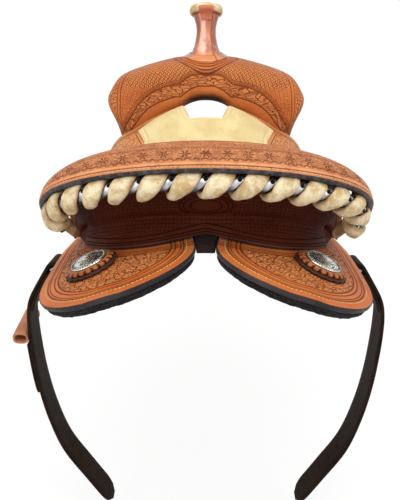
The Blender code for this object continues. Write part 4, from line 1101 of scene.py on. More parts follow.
rimFront = (0.182, 0.120, 0.083, -0.168, 0.042)
rimRear = (0.187, 0.118, 0.0695, -0.213, 0.058)
rollEnd = math.radians(96)
rollShape = {"lipForward": 0.008, "lipDrop": 0.009, "crown": 0.004, "bead": 0.0021, "beadColumns": 4,
             "stitch": (0.0046, 0.0016, 0.0005), "stitchWay": 0.0031}
seatShape = {
    "line": [(-0.085, 0.1175, 0.110, 0.092, 0.170, 0.014), (-0.040, 0.1150, 0.108, 0.090, 0.171, 0.012),
             (0.010, 0.1215, 0.106, 0.093, 0.171, 0.014), (0.060, 0.1370, 0.106, 0.108, 0.170, 0.026),
             (0.110, 0.1550, 0.107, 0.124, 0.168, 0.046), (0.155, 0.1690, 0.109, 0.131, 0.166, 0.058)],
    "edgeDrop": 35.0, "rails": [0.00, 0.10, 0.20, 0.32, 0.46, 0.60, 0.74, 0.88, 1.00],
    "notchFrom": 0.50, "holeHalf": 0.036, "notch": 0.112,
    "padThick": 0.008, "padEdge": 0.0032, "padRear": 0.05, "padFront": 0.99,
    "padCorner": (0.135, 0.43, 0.062), "stitch": (0.0042, 0.0016, 0.00045), "crease": 0.0006,
    "padHalf": [(0.05, 0.445), (0.20, 0.440), (0.36, 0.425), (0.52, 0.390), (0.66, 0.362), (0.80, 0.362),
                (0.93, 0.430), (1.00, 0.430)],
}


def arcPoint(arc, turn):
    half, centre, rise, place, sweep = arc
    fall = 1 - math.cos(turn)
    return np.array([half * math.sin(turn), place + sweep * fall,
                     centre + rise * squarer(math.cos(turn), 0.9)])


def radial(turn):
    return np.array([math.sin(turn), 0.0, math.cos(turn)])


def rimAt(turn, back, drop):
    return arcPoint(rimFront, turn) + np.array([0, -back, 0]) - drop * radial(turn)


def seatRail(index, share):
    turn = rollEnd * share
    fall = 1 - math.cos(turn)
    if index == 0:
        return rimAt(turn, -rollShape["lipForward"], rollShape["lipDrop"] + 0.0068 + 0.003 * math.sin(turn))
    if index == 1:
        return np.array([0.165 * math.sin(turn), -0.150 + 0.036 * fall, 0.166 - 0.066 * fall])
    if index == 2:
        return np.array([0.169 * math.sin(turn), -0.122 + 0.028 * fall, 0.132 - 0.072 * fall**1.15])
    y, crown, shoulder, foot, edge, stand = seatShape["line"][index - 3]
    x = edge * math.sin(share * math.pi / 2)
    if x <= shoulder:
        return np.array([x, y, crown - (crown - foot) * (x / shoulder) ** 1.9])
    lie = backHeight(edge, y) + (leather["seat"] + leather["layerGap"]) * 1.3 + stand
    width = edge - shoulder
    leave = -1.9 * (crown - foot) / shoulder
    arrive = backSlope(edge, y) - seatShape["edgeDrop"] * stand
    return np.array([x, y, curved((x - shoulder) / width, width, foot, lie, leave, arrive)])


def seatRow(share, runs):
    # Places from the rear to the front edge, which the hand hole notches
    g = seatShape
    rails = [(key, *seatRail(k, share)) for k, key in enumerate(g["rails"])]
    reach = 1.0 - g["notch"] * (1 - ease((rails[-1][1] / g["holeHalf"] - 0.62) / 0.38))
    start = g["notchFrom"]
    stay = (reach - start) / (1 - start)
    return [through(rails, run if run < start else start + (run - start) * stay) for run in runs]


def padRun(share, run):
    # How far forward a place of the pad reaches: its front edge slants back from the hand hole's corners
    near, far, back = seatShape["padCorner"]
    front = seatShape["padFront"] - back * min(max((share - near) / (far - near), 0.0), 1.0)
    return seatShape["padRear"] + (front - seatShape["padRear"]) * run


def padGrid(parts, runs):
    widest = seatShape["padCorner"][1]
    grid = []
    for part in parts:
        row = []
        for run in runs:
            share = part * np.interp(padRun(part * widest, run), *zip(*seatShape["padHalf"]))
            row.append((share, padRun(share, run)))
        grid.append(row)
    return grid


def seatPoint(share, run):
    return seatRow(share, [run])[0]


def gridUvs(grid, column=None):
    # Surface coordinates in metres: lengths across from the middle row and along each row
    across = arcLengths(grid[:, grid.shape[1] // 2 if column is None else column])
    across -= across[len(across) // 2]
    uvs = np.zeros(grid.shape[:2] + (2,))
    for i, row in enumerate(grid):
        uvs[i, :, 0] = across[i]
        uvs[i, :, 1] = arcLengths(row)
    return uvs


jockeyLook = {
    **tan, "colour": (0.60, 0.21, 0.065), "warm": (0.68, 0.28, 0.095), "depth": 0.0008, "coat": 0.15,
    "fields": [{"kind": "leaves", "size": 0.021,
                "where": [("edgeWay", 0.0145, 1.0), ("padWay", 0.008, 1.0)]}],
    "lines": [("edgeWay", 0.0035, 0.0009), ("edgeWay", 0.0105, 0.0013), ("edgeWay", 0.0135, 0.0013),
              ("padWay", 0.0060, 0.0013)],
    "rows": [{"kind": "arcs", "way": "edgeWay", "pitch": 0.0070, "at": 0.0142}],
}


def suede():
    s = newMaterial("suede", roughness=0.92, sheen=0.12, specular=0.08)
    place = s.place()
    nap = s.noise(place, 900.0, 5.0, 0.7)
    wearAndHighlight = s.noise(s.vector("MULTIPLY", place, (1.0, 0.6, 1.0)), 26.0, 4.0, 0.6)
    cloud = s.step(wearAndHighlight, 0.36, 0.66)
    tone = s.mix(cloud, (0.66, 0.505, 0.225), (0.775, 0.640, 0.322))
    tone = s.mix(s.step(nap, 0.42, 0.72, 0.0, 0.30), tone, (0.85, 0.74, 0.45))
    rim = s.step(s.attribute("padWay"), 0.0065, 0.0085, 0.55, 0.0)
    tone = s.mix(rim, tone, (0.84, 0.64, 0.34))
    seam = cutAt(s, s.attribute("padWay"), 0.0085, 0.0016)
    tone = s.mix(s.times(seam, 0.18), tone, (0.46, 0.29, 0.12))
    return s.finish(tone, None, s.plus(nap, s.times(wearAndHighlight, 0.6)), 0.0005)


def buildSeat():
    g = seatShape
    shares = span(0.0, 0.40, 14) + span(0.425, 1.0, 34)
    runs = span(0.0, 1.0, 84)
    top = mirrored([seatRow(share, runs) for share in shares])
    under = top - leather["seat"] * gridNormals(top)
    folded = top.reshape(-1, 3).copy()
    folded[:, 0] = np.abs(folded[:, 0])
    half = top[len(shares) - 1:]
    edge = np.concatenate([half[:, -1], half[-1][::-1][1:], half[::-1, 0][1:]])
    ways, alongs = wayToLine(folded, edge)
    side = padGrid([1.0], span(0.0, 1.0, 160))[0]
    front = [place[-1] for place in padGrid(span(1.0, 0.0, 60), [1.0])]
    padLine = np.array([seatPoint(*place) for place in side + front])
    padWays = wayToLine(folded, padLine)[0]
    for i, share in enumerate([-s for s in shares[:0:-1]] + shares):
        for k, run in enumerate(runs):
            if abs(share) < np.interp(run, *zip(*g["padHalf"])) and run < padRun(abs(share), 1.0):
                padWays[i * len(runs) + k] = 0.0
    values = {"edgeWay": ways, "alongWay": alongs, "padWay": padWays}
    finishes = [tooledLeather("jockeyLeather", jockeyLook), edgeInk, fleshSide]
    seat = sheetPiece("seatLeather", top, under, finishes, gridUvs(top), values, roundness=0.0009)
    placed(seat, "seat_leather", slot="tooled")

    parts, runs = span(0.0, 1.0, 44), span(0.0, 1.0, 96)
    base = mirrored([[seatPoint(*place) for place in row] for row in padGrid(parts, runs)])
    normals = gridNormals(base)
    across = np.array([-s for s in parts[:0:-1]] + parts)
    along = np.array(runs)
    ends = np.minimum(1.0, np.minimum(along, 1 - along) / 0.10) ** 0.6
    crown = (1 - np.abs(across) ** 5)[:, None] * ends[None, :]
    padWays, padAlong = wayToLine(base, outline(base))
    lift = g["padEdge"] + (g["padThick"] - g["padEdge"]) * crown
    ways = padWays.reshape(lift.shape)
    # A seam runs round it, sunk between the pad's crown and its raised rim
    lift -= g["crease"] * np.exp(-((ways - 0.0085) / 0.0018) ** 2) * np.minimum(1.0, ways / 0.004)
    lift += g["crease"] * np.exp(-((ways - 0.0045) / 0.0022) ** 2)
    for spot in np.ndindex(lift.shape):
        soft = noise.fractal(Vector(base[spot]) * 16.0, 1.0, 2.0, 2)
        lift[spot] += 0.0009 * soft * min(1.0, ways[spot] / 0.03)
    top = base + (leather["gap"] + lift)[..., None] * normals
    under = base + leather["gap"] * normals
    pad = sheetPiece("seatPad", top, under, [suede()] * 3, gridUvs(base),
                     {"padWay": padWays, "alongWay": padAlong}, roundness=0.0016)
    placed(pad, "seat_inlay", slot="suede")
    rows = [top[i, 4:-3] + 0.0002 * normals[i, 4:-3] for i in (4, -5)]
    rowAlong("padStitches", rows, paleThread, g["stitch"])


buildSeat()
print("seat and suede pad ready")

# Cantle: roll, back in dark red-brown with painted shade, and the laced binding


def rollGrid(turns, steps):
    grid = []
    for turn in turns:
        out = radial(turn)
        crest, rear = arcPoint(rimFront, turn), arcPoint(rimRear, turn)
        lip = crest + np.array([0, rollShape["lipForward"], 0]) - rollShape["lipDrop"] * out
        rise = rollShape["crown"]
        line = [(0.0, *rear), (0.34, *(rear + 0.34 * (crest - rear) + 0.85 * rise * out)),
                (0.7, *(rear + 0.7 * (crest - rear) + rise * out)), (1.0, *crest), (1.25, *lip)]
        grid.append([through(line, k) for k in steps])
    return np.array(grid)


rollLook = {
    **redTan, "depth": 0.0011, "stainAndShade": 0.62, "lift": 0.36, "specular": 0.10, "coat": 0.0,
    "blotch": (105.0, 0.66, (0.28, 0.060, 0.028)),
    "fields": [{"kind": "leaves", "size": 0.0105, "bloom": 0.0, "stainAndShade": 0.42,
                "where": [("rollWay", 0.0125, 0.0400)]}],
    "lines": [("rollWay", 0.0050, 0.0008), ("rollWay", 0.0430, 0.0010)],
    # A raised ridge above the stitches, which the painted highlight on raised spots lightens
    "ridges": [("rollWay", 0.0076, 0.0030)],
    "rows": [{"kind": "arcs", "way": "rollWay", "pitch": 0.0088, "at": 0.0105, "depth": 0.8},
             {"kind": "stars", "way": "rollWay", "pitch": 0.0215, "at": 0.0205, "reach": 0.0058},
             {"kind": "arcs", "way": "rollWay", "pitch": 0.0062, "at": 0.0285, "depth": 0.45}],
}


def backRail(index, turn):
    sin, cos = math.sin(turn), math.cos(turn)
    if index == 0:
        return rimAt(turn, 0.020, 0.026)
    if index == 1:
        return np.array([0.150 * sin, -0.178 + 0.058 * (1 - cos), 0.130 - 0.045 * (1 - cos)])
    if index == 2:
        x, y = 0.144 * sin, -0.173 + 0.062 * (1 - cos)
        return np.array([x, y, backHeight(x, y) + 0.024])
    x = footShape["half"] * sin
    return onBack(x, cantleFoot(1 - cos, x), leather["cover"] + leather["layerGap"])


def backGrid(shares, runs):
    keys = [0.0, 0.42, 0.74, 1.0]
    grid = []
    for share in shares:
        rails = [(key, *backRail(k, rollEnd * share)) for k, key in enumerate(keys)]
        grid.append([through(rails, run) for run in runs])
    return mirrored(grid)


backOval = {"half": (0.0270, 0.0130), "height": 0.044}
backEnd = 11 / 12
backLook = {
    **shadedDeepRed, "depth": 0.0009, "coat": 0.0, "rough": 0.5, "specular": 0.08,
    "fields": [{"kind": "basket", "size": 0.0046, "turn": 0.0,
                "where": [("footWay", 0.0130, 1.0), ("ovalWay", 1.12, 50.0)]}],
    "lines": [("footWay", 0.0030, 0.0010), ("footWay", 0.0062, 0.0012), ("footWay", 0.0120, 0.0012),
              ("ovalWay", 1.08, 0.06), ("ovalWay", 0.90, 0.05), ("ovalWay", 0.62, 0.06)],
}


def rolledEdge():
    # Black turned edge: fine wrinkles across it, greyish where it is worn, and darker in the wrinkles'
    # hollows as painted shade
    s = newMaterial("rolledEdge", coat=0.15, specular=0.35)
    place = s.place()
    folds = s.noise(s.vector("MULTIPLY", place, (520.0, 520.0, 120.0)), 1.0, 4.0, 0.6)
    worn = s.noise(place, 160.0, 4.0, 0.65)
    tone = s.mix(s.step(worn, 0.40, 0.68), (0.022, 0.019, 0.023), (0.105, 0.095, 0.110))
    # Painted shade in the hollows of the wrinkles
    tone = s.mix(s.step(folds, 0.35, 0.55, 0.6, 0.0), tone, (0.010, 0.008, 0.009))
    return s.finish(tone, (worn, 0.3, 0.25), folds, 0.0012)


def buildShadeGussets():
    # A dark sheet closes the corner between the back's end and the seat leather's rear edge; its dark colour
    # is painted shade, standing in for the shadow in that corner
    runs = span(0.0, 1.0, 24)
    start = backGrid([0.0, backEnd], runs)[-1]
    finish = np.array([seatPoint(0.97, 0.05 + 0.25 * run) for run in runs]) - np.array([0.0050, 0.0, 0.0])
    # Its top edge reaches up under the roll
    start = np.concatenate([[rimAt(math.radians(87), 0.0170, 0.0085)], start])
    finish = np.concatenate([[rimAt(math.radians(92), -0.0030, 0.0085)], finish])
    grid = np.array([start + (finish - start) * share for share in span(0.05, 1.0, 12)])
    for p in grid.reshape(-1, 3):
        p[2] = max(p[2], backHeight(p[0], p[1]) + 0.0048)
    inner = grid - np.array([0.0022, 0.0, 0.0])
    for side, flip in bothSides:
        gusset = sheetPiece("cantleShadeGusset" + side.title(), grid * flip, inner * flip,
                            [gussetShade, edgeInk, gussetShade], grid[..., 1:], roundness=0.0005)
        placed(gusset, slot="back")


def buildCantle():
    turns = span(-rollEnd, rollEnd, 141)
    steps = span(0.0, 1.0, 26) + span(1.04, 1.25, 6)
    top = rollGrid(turns, steps)
    normals = gridNormals(top)
    under = top - leather["roll"] * normals
    # The rear edge is turned over into a thicker bead
    for k in range(rollShape["beadColumns"]):
        under[:, k] -= rollShape["bead"] * (1 - k / rollShape["beadColumns"]) * normals[:, k]
    uvs = gridUvs(top, 12)
    values = {"rollWay": uvs[..., 1], "alongWay": uvs[..., 0] + 1.0}
    finishes = [tooledLeather("rollLeather", rollLook), rolledEdge(), edgeInk]
    roll = sheetPiece("cantleRoll", top, under, finishes, uvs, values, roundness=0.0022)
    placed(roll, "cantle_roll", slot="tooled")
    row = np.array([a + (b - a) / np.linalg.norm(b - a) * rollShape["stitchWay"] for a, b in top[2:-2, :2]])
    row += 0.0002 * normals[2:-2, 1]
    rowAlong("rollStitches", [row], paleThread, rollShape["stitch"])

    outer = backGrid(span(0.0, backEnd, 60), span(0.0, 1.0, 46))
    inner = outer + leather["cover"] * gridNormals(outer)
    uvs = gridUvs(outer)
    wide, high = backOval["half"]
    oval = np.sqrt((uvs[..., 0] / wide) ** 2 + ((uvs[..., 1] - backOval["height"]) / high) ** 2)
    values = {"footWay": uvs[:, -1:, 1] - uvs[..., 1], "ovalWay": oval}
    finishes = [tooledLeather("backLeather", backLook), edgeInk, fleshSide]
    back = sheetPiece("cantleBack", outer, inner, finishes, uvs, values, roundness=0.0010)
    placed(back, "cantle_back", slot="back")


buildCantle()
buildShadeGussets()
print("cantle roll and back ready")

bindingShape = {"arc": (0.1705, 0.1092, 0.059, -0.203, 0.044), "end": math.radians(106), "core": 0.0065,
                "clear": 0.0009, "turns": 15, "points": 64, "laceThick": 0.0064, "laceWide": 0.0202,
                "laceNarrow": 0.0075, "silverThick": 0.0013, "silverWide": 0.0080, "silverNarrow": 0.0025,
                "slide": 0.8, "bunch": 0.18, "widest": math.radians(48), "toe": math.radians(128),
                "toePuff": 0.0034, "endPuff": 1.0, "shine": math.radians(40), "hole": (0.01, 0.0006, 0.0024),
                "knot": [(0.1700, -0.1490, 0.1065), (0.1640, -0.1555, 0.1060), (0.1565, -0.1580, 0.1000),
                         (0.1505, -0.1545, 0.0905), (0.1485, -0.1495, 0.0860)],
                "knotSize": 0.0082, "knotSides": 18}


def bindingLine():
    turns = np.linspace(-bindingShape["end"], bindingShape["end"], 1441)
    line = np.array([arcPoint(bindingShape["arc"], abs(t)) for t in turns])
    line[:, 0] *= np.where(turns < 0, -1.0, 1.0)
    outward = np.array([radial(t) for t in turns])
    return line, np.gradient(line, axis=0), arcLengths(line), outward


binding = bindingLine()


def bindingFrame(spot):
    line, tangent, length, outward = binding
    centre, along, out = [np.array([np.interp(spot, length, part[:, k]) for k in range(3)])
                          for part in (line, tangent, outward)]
    along /= np.linalg.norm(along)
    out -= along * np.dot(out, along)
    out /= np.linalg.norm(out)
    return centre, along, out, np.cross(along, out)


def windingSpot(count, turn):
    # The strips move on faster on the side that shows, so they slant there, and bunch up towards the ends
    g = bindingShape
    margin = 0.5 * g["laceWide"]
    room, place = binding[2][-1] - 2 * margin, count / g["turns"]
    spread = 1 - g["bunch"] * math.cos(2 * math.pi * place)
    pitch = room * spread / (g["turns"] * 2 * math.pi)
    spot = margin + room * (place - g["bunch"] * math.sin(2 * math.pi * place) / (2 * math.pi))
    slide = g["slide"] * (1 - 0.4 * (2 * place - 1) ** 2)
    return spot + pitch * slide * math.cos(turn), pitch, math.sqrt(spread)


def woundStrip(phase, radius, thickness, wide, narrow, points, sides, puff=0.0):
    g = bindingShape
    rings, uvs, dirtAndShade, shine = [], [], [], []
    for k in range(g["turns"] * points + 1):
        turn = -2 * math.pi * (k / points + phase)
        spot, pitch, spread = windingSpot(k / points, turn)
        last = ease(1 - min(k, g["turns"] * points - k) / points / 1.4)
        centre, along, out, rear = bindingFrame(spot)
        spoke = math.cos(turn) * out + math.sin(turn) * rear
        path = (math.sin(turn) * out - math.cos(turn) * rear) * radius
        path += along * pitch * (1 + g["slide"] * math.sin(turn))
        path /= np.linalg.norm(path)
        across = np.cross(path, spoke)
        shown = (0.5 + 0.5 * math.cos(turn - g["widest"])) ** 1.2
        half = 0.5 * (narrow + (wide * spread - narrow) * shown)
        # The strip swells into a fat toe where it turns under the roll's edge
        toe = puff * max(math.cos(turn - g["toe"]), 0.0) ** 2 * (1 + g["endPuff"] * last)
        middle = centre + (radius + toe * 0.4) * spoke
        for s in range(sides):
            around = 2 * math.pi * (s + 0.5) / sides
            side, rise = squarer(math.cos(around), 0.85), squarer(math.sin(around), 0.9)
            point = middle + half * side * across + (0.5 * thickness + 0.5 * toe) * rise * spoke
            if puff:
                lump = noise.fractal(Vector(point) * 95.0, 1.0, 2.0, 2)
                point = point + spoke * 0.0010 * lump + across * 0.0007 * lump
            rings.append(point)
            uvs.append((around * 0.003, k * 0.001))
            # Partly dirt, partly painted shade: darker on the strip's inner face, along its edges, on part of
            # each turn and towards its ends
            under = max(0.0, -rise) + abs(side) ** 4 * 0.8 + 0.5 * max(0.0, math.cos(turn)) ** 4
            dirtAndShade.append(min(1.0, under + 0.35 * last))
            # How far each turn faces its lit side, used for the silver's painted shade
            shine.append(math.cos(turn - g["shine"]))
    return np.array(rings).reshape(-1, sides, 3), uvs, dirtAndShade, shine


def silverLaceFinish():
    s = newMaterial("silverLace", roughness=0.34, metallic=1.0, specular=0.5)
    u, v = s.split(s.surface())[:2]
    brushed = s.noise(s.combine(s.times(u, 900.0), s.times(v, 60.0)), 1.0)
    cloud = s.noise(s.place(), 160.0)
    tone = s.mix(s.step(cloud, 0.35, 0.65), (0.42, 0.42, 0.46), (0.64, 0.64, 0.69))
    # Painted shade: the silver darkens on the part of each turn that faces away from the light
    tone = s.mix(s.step(s.attribute("shine"), 0.42, 0.95, 0.92, 0.0), tone, (0.070, 0.073, 0.088))
    return s.finish(tone, (brushed, 0.3, 0.22), brushed, 0.0002)


def buildBinding():
    g = bindingShape
    radius = g["core"] + g["clear"] + 0.00012 + g["laceThick"] / 2
    rings, uvs, dirtAndShade, shine = woundStrip(0.0, radius, g["laceThick"], g["laceWide"], g["laceNarrow"],
                                         g["points"], 20, g["toePuff"])
    lace = loftPiece("rawhideLacing", rings, [rawhide], uvs=uvs, values={"dirtAndShade": dirtAndShade})
    placed(lace, "rawhide_lace", slot="rawhide")
    radius = g["core"] + g["clear"] + 0.0010 + g["silverThick"] / 2
    rings, uvs, dirtAndShade, shine = woundStrip(0.5, radius, g["silverThick"], g["silverWide"], g["silverNarrow"],
                                         40, 10)
    silver = loftPiece("silverLacing", rings, [silverLaceFinish()], uvs=uvs, values={"shine": shine})
    placed(silver, "silver_lace", slot="silver")
    # Dark discs on the silver stand in for the shade inside the lace holes
    holes, turn = [], g["shine"]
    for n in range(1, g["turns"]):
        spot = windingSpot(n - 0.5 - turn / (2 * math.pi), turn)[0]
        centre, _, out, rear = bindingFrame(spot)
        spoke = math.cos(turn) * out + math.sin(turn) * rear
        hole = centre + (radius + g["silverThick"] / 2) * spoke
        holes.append([hole - 0.0003 * spoke, hole + 0.0003 * spoke])
    rowAlong("laceHoles", holes, laceHoleShade, g["hole"], kind="hole")


def buildKnots():
    # The strip's ends are tucked into a short fat knot beside the back
    g = bindingShape
    line = np.array(throughAll(g["knot"], 5))
    way = unitWays(line)
    level = np.cross(way, np.array([0.0, 0.35, 1.0]))
    level /= np.linalg.norm(level, axis=1, keepdims=True)
    rise = np.cross(level, way)
    knotFinish = rawhideFinish("wornRawhide", 0.85)
    for side, flip in bothSides:
        rings = []
        for k, p in enumerate(line):
            share = k / (len(line) - 1)
            size = g["knotSize"] * (1 - 0.30 * abs(2 * share - 0.9) ** 3) * (1 - 0.30 * share)
            ring = []
            for around in circle(g["knotSides"]):
                point = p + size * (math.cos(around) * level[k] * 0.8 + math.sin(around) * rise[k])
                ring.append((point + 0.0012 * noise.fractal(Vector(point) * 110.0, 1.0, 2.0, 2)) * flip)
            rings.append(ring)
        soiled = [1.0] * (len(line) * g["knotSides"])
        knot = loftPiece("laceKnot" + side.title(), rings, [knotFinish], values={"dirtAndShade": soiled})
        placed(knot, slot="rawhide")


buildBinding()
buildKnots()
print("laced binding ready")

# Conchos on their leather rosettes

conchoShape = {"place": (0.1245, -0.202), "rosette": 0.0292, "lobes": 20, "lobeDepth": 0.0024, "ply": 0.0035,
               "radius": 0.0205, "rise": 0.0045, "hole": 0.0034, "sides": 168,
               "rope": (0.00285, 0.0019, 0.00105, 0.75), "stitch": (0.0040, 0.0013, 0.0004)}


def besideConcho(radius, turn, lift, lobes=0.0):
    g = conchoShape
    x, y = g["place"]
    reach = radius + lobes * (abs(math.sin(g["lobes"] * turn / 2)) ** 0.7 - 0.3)
    level = math.sqrt(1 + backSlope(x, y) ** 2)
    return onBack(x + reach * math.cos(turn) / level, y + reach * math.sin(turn), lift)


def engravedSilver():
    # Antique silver: scrolls in relief, dark and greenish in the recesses, bright on the high spots
    s = newMaterial("engravedSilver", metallic=1.0, specular=0.5)
    surface = s.surface()
    made = s.use(groups["leaves"], Vector=surface, Size=0.0125)
    carved = s.fall(made["Height"], 0.16, 0.62)
    r = s.reach(*s.split(surface)[:2])
    inside = s.fall(r, 0.0168, 0.0174)
    groove = cutAt(s, r, 0.0176, 0.0009)
    sunk = s.most(s.times(carved, inside), groove)
    cloud = s.noise(s.place(), 240.0, 4.0)
    patina = s.mix(s.step(cloud, 0.4, 0.65), (0.022, 0.022, 0.019), (0.030, 0.048, 0.038))
    tone = s.mix(s.step(sunk, 0.10, 0.70, 0.0, 0.95), (0.80, 0.79, 0.73), patina)
    return s.finish(tone, (sunk, 0.35, 0.24), s.minus(1.0, sunk), 0.0007)


def agedSilver():
    s = newMaterial("agedSilver", metallic=1.0, specular=0.5)
    cloud = s.noise(s.place(), 700.0)
    return s.finish(s.mix(s.step(cloud, 0.38, 0.62), (0.12, 0.12, 0.11), (0.52, 0.51, 0.46)),
                    (cloud, 0.3, 0.25))


def scallopedLeather():
    s = newMaterial("scallopedLeather")
    grain, notch = s.use(groups["grain"], Vector=s.place()), s.attribute("notch")
    tone = mottled(s, grain, (0.44, 0.115, 0.032), (0.56, 0.175, 0.052))
    tone = s.mix(s.step(notch, 0.25, 0.75, 0.0, 0.92), tone, (0.045, 0.012, 0.006))
    return s.finish(tone, (grain["Mottle"], 0.25, 0.36), s.minus(grain["Height"], notch), 0.0005)


def buildConchos():
    g = conchoShape
    base, step = leather["layerGap"], leather["layerGap"] + g["ply"]
    top, hole, edge, disc = step + g["ply"], g["hole"], g["rosette"], g["radius"]
    turns = circle(g["sides"])
    plies = [
        ("rosetteLower", [(hole, base + 0.0004), (edge - 0.0012, base), (edge + 0.0002, base + 0.0008),
                          (edge + 0.0002, step - 0.0012), (edge - 0.0014, step - 0.0003),
                          (hole, step - 0.0003)], rosetteEdge, 0.0),
        ("rosetteUpper", [(hole, step), (edge - 0.0042, step), (edge - 0.0028, step + 0.0010),
                          (edge - 0.0030, top - 0.0009), (edge - 0.0045, top), (disc + 0.0016, top),
                          (hole, top)], scallopedLeather(), math.pi / g["lobes"]),
    ]
    silver, ropeSilver = engravedSilver(), agedSilver()
    seat = top + leather["gap"]
    dome = throughAll([(disc - 0.0006, seat), (disc, seat + 0.0009), (disc - 0.0010, seat + 0.0021),
                       (disc - 0.0030, seat + 0.0020), (disc - 0.0042, seat + 0.0024),
                       (0.0120, seat + 0.0038),
                       (0.0050, seat + g["rise"]), (0.0004, seat + g["rise"] + 0.0002)])
    form = [(0.003, base + 0.0006), (0.003, seat)] + dome
    for side, flip in bothSides:
        for name, profile, finish, shift in plies:
            rings = [[besideConcho(r, t + shift, h, g["lobeDepth"] if r > hole else 0.0) * flip
                      for r, h in profile] for t in turns]
            notch = []
            for t in turns:
                dent = (1 - abs(math.sin(g["lobes"] * (t + shift) / 2))) ** 0.8
                notch += [min(1.0, max(0.0, (r - disc) / 0.0028)) * dent if h > base + 0.0005 else 1.0
                          for r, h in profile]
            ply = loftPiece(name + side.title(), rings, [finish], closed=True, values={"notch": notch})
            replaced = ["rosette_" + side] if name == "rosetteLower" else []
            placed(ply, *replaced, slot="tooled")
        few = turns[::2]
        rings = [[besideConcho(r, t, h) * flip for t in few] for r, h in form]
        uvs = [(r * math.cos(t) * flip[0], r * math.sin(t)) for r, h in form for t in few]
        concho = loftPiece("concho" + side.title(), rings, [silver], uvs=uvs)
        placed(concho, "concho_" + side, slot="silver")
        for name, finish, sizes, r, h in (("conchoRope", ropeSilver, g["rope"], disc - 0.0012, seat + 0.0020),
                                          ("rosetteStitches", tanThread, g["stitch"], edge - 0.0065,
                                           top + 0.0002)):
            line = np.array([besideConcho(r, t, h) * flip for t in turns + turns[:1]])
            rowAlong(name + side.title(), [line], finish, sizes)


buildConchos()
print("conchos ready")

# Billets, safe and keeper

strapShape = {"touch": 0.180, "clearance": 0.0016, "rear": -0.065,
              "plate": 0.003, "outer": 0.0355, "bar": 0.006,
              "width": 0.044, "leather": 0.0045, "tail": 0.060, "loop": 0.0062, "levelBelow": 0.080,
              "keeperHeight": -0.106, "keeperLong": 0.066, "keeperHalf": (0.0110, 0.0088),
              "keeperWall": 0.0027, "safeBottom": -0.218, "safe": 0.004, "safeWidth": 0.040,
              "tailSteps": 40, "tailGap": 0.0005, "stitchWay": 0.0035,
              "stitch": (0.0048, 0.0017, 0.00045)}
billetLine = [(0.2142, -0.0045), (0.2187, -0.0116), (0.2266, -0.0239), (0.2359, -0.0395),
              (0.2419, -0.0560), (0.2455, -0.0820), (0.2467, -0.1250), (0.2445, -0.1900),
              (0.2365, -0.2550), (0.2205, -0.3200), (0.1900, -0.3820), (0.1560, -0.4470)]
billetLeg = throughAll(billetLine, 8)


def plateFrame(y):
    g = strapShape
    foot = onBack(g["touch"], y, -leather["skirt"])
    up = upFrom(g["touch"], y)
    along = np.cross(up, np.array([1.0, 0.0, 0.0]))
    along /= np.linalg.norm(along)
    return foot - g["clearance"] * up, np.cross(along, up), along, up


def barCentre():
    foot, out, _, up = plateFrame(strapShape["rear"])
    return foot + (strapShape["outer"] - strapShape["bar"] / 2) * out - strapShape["plate"] / 2 * up


def lifted(points, lift):
    # Each point but the last, moved out from the strap's middle
    moved = []
    for a, b in zip(points, points[1:]):
        way = (b - a) / np.linalg.norm(b - a)
        moved.append(a + lift * np.array([-way[1], way[0]]))
    return moved


def billetPath():
    g = strapShape
    inside = lifted(billetLeg[:g["tailSteps"] + 1], -g["leather"] - g["tailGap"])
    tail = [point for point in inside if point[1] > -g["tail"]]
    turn = [barCentre()[[0, 2]] + g["loop"] * np.array([math.cos(a), math.sin(a)])
            for a in np.radians(np.linspace(240, 38, 25))]
    return tail[::-1] + turn + billetLeg


def strapRings(path, thickness, width, flip, tip=0.0):
    bar = barCentre()
    sloping = plateFrame(strapShape["rear"])[2]
    level = np.array([0.0, 1.0, 0.0])
    path = np.array(path)
    run = np.linalg.norm(path - path[-1], axis=1)
    section = [(-1, -0.96), (-1, -0.6), (-1, 0.0), (-1, 0.6), (-1, 0.96), (-0.55, 1.0), (0.55, 1.0),
               (1, 0.96), (1, 0.6), (1, 0.0), (1, -0.6), (1, -0.96), (0.55, -1.0), (-0.55, -1.0)]
    rings, uvs = [], []
    for p, w, left, at in zip(path, unitWays(path), run, arcLengths(path)):
        half = width / 2
        if tip and left < tip:
            half *= 0.35 + 0.65 * math.sqrt(1 - (1 - left / tip) ** 2)
        along = sloping + (level - sloping) * ease((bar[2] - p[1]) / strapShape["levelBelow"])
        normal = np.array([w[1], -w[0]])
        for a, b in section:
            x, z = p + normal * a * thickness / 2
            rings.append((np.array([x, bar[1], z]) + b * half * along) * flip)
            uvs.append((at, b * half))
    return np.array(rings).reshape(-1, len(section), 3), uvs


def strapLeather(name, holes=True):
    s = newMaterial(name, specular=0.02)
    place = s.place()
    grain = s.use(groups["grain"], Vector=place)
    u, v = s.split(s.surface())[:2]
    tone = mottled(s, grain, (0.017, 0.010, 0.007), (0.030, 0.017, 0.011))
    worn = s.step(s.noise(place, 130.0, 5.0, 0.7), 0.60, 0.78, 0.0, 0.6)
    tone = s.mix(worn, tone, (0.060, 0.031, 0.020))
    crease = cutAt(s, s.size(v), 0.0165, 0.0010)
    if holes:
        inch = 0.0254
        along = s.times(s.minus(s.calc("FRACT", s.over(u, inch)), 0.5), inch)
        # Holes are not cut: each is a dip in the relief painted near black, as the shade inside a hole
        holeShade = s.times(s.fall(s.reach(along, v), 0.0022, 0.0028), between(s, u, 0.36, 0.52))
        tone = s.mix(holeShade, tone, (0.004, 0.003, 0.003))
        crease = s.most(crease, holeShade)
    relief = s.minus(s.times(grain["Height"], 0.3), crease)
    return s.finish(tone, (grain["Mottle"], 0.25, 0.36), relief, 0.0006)


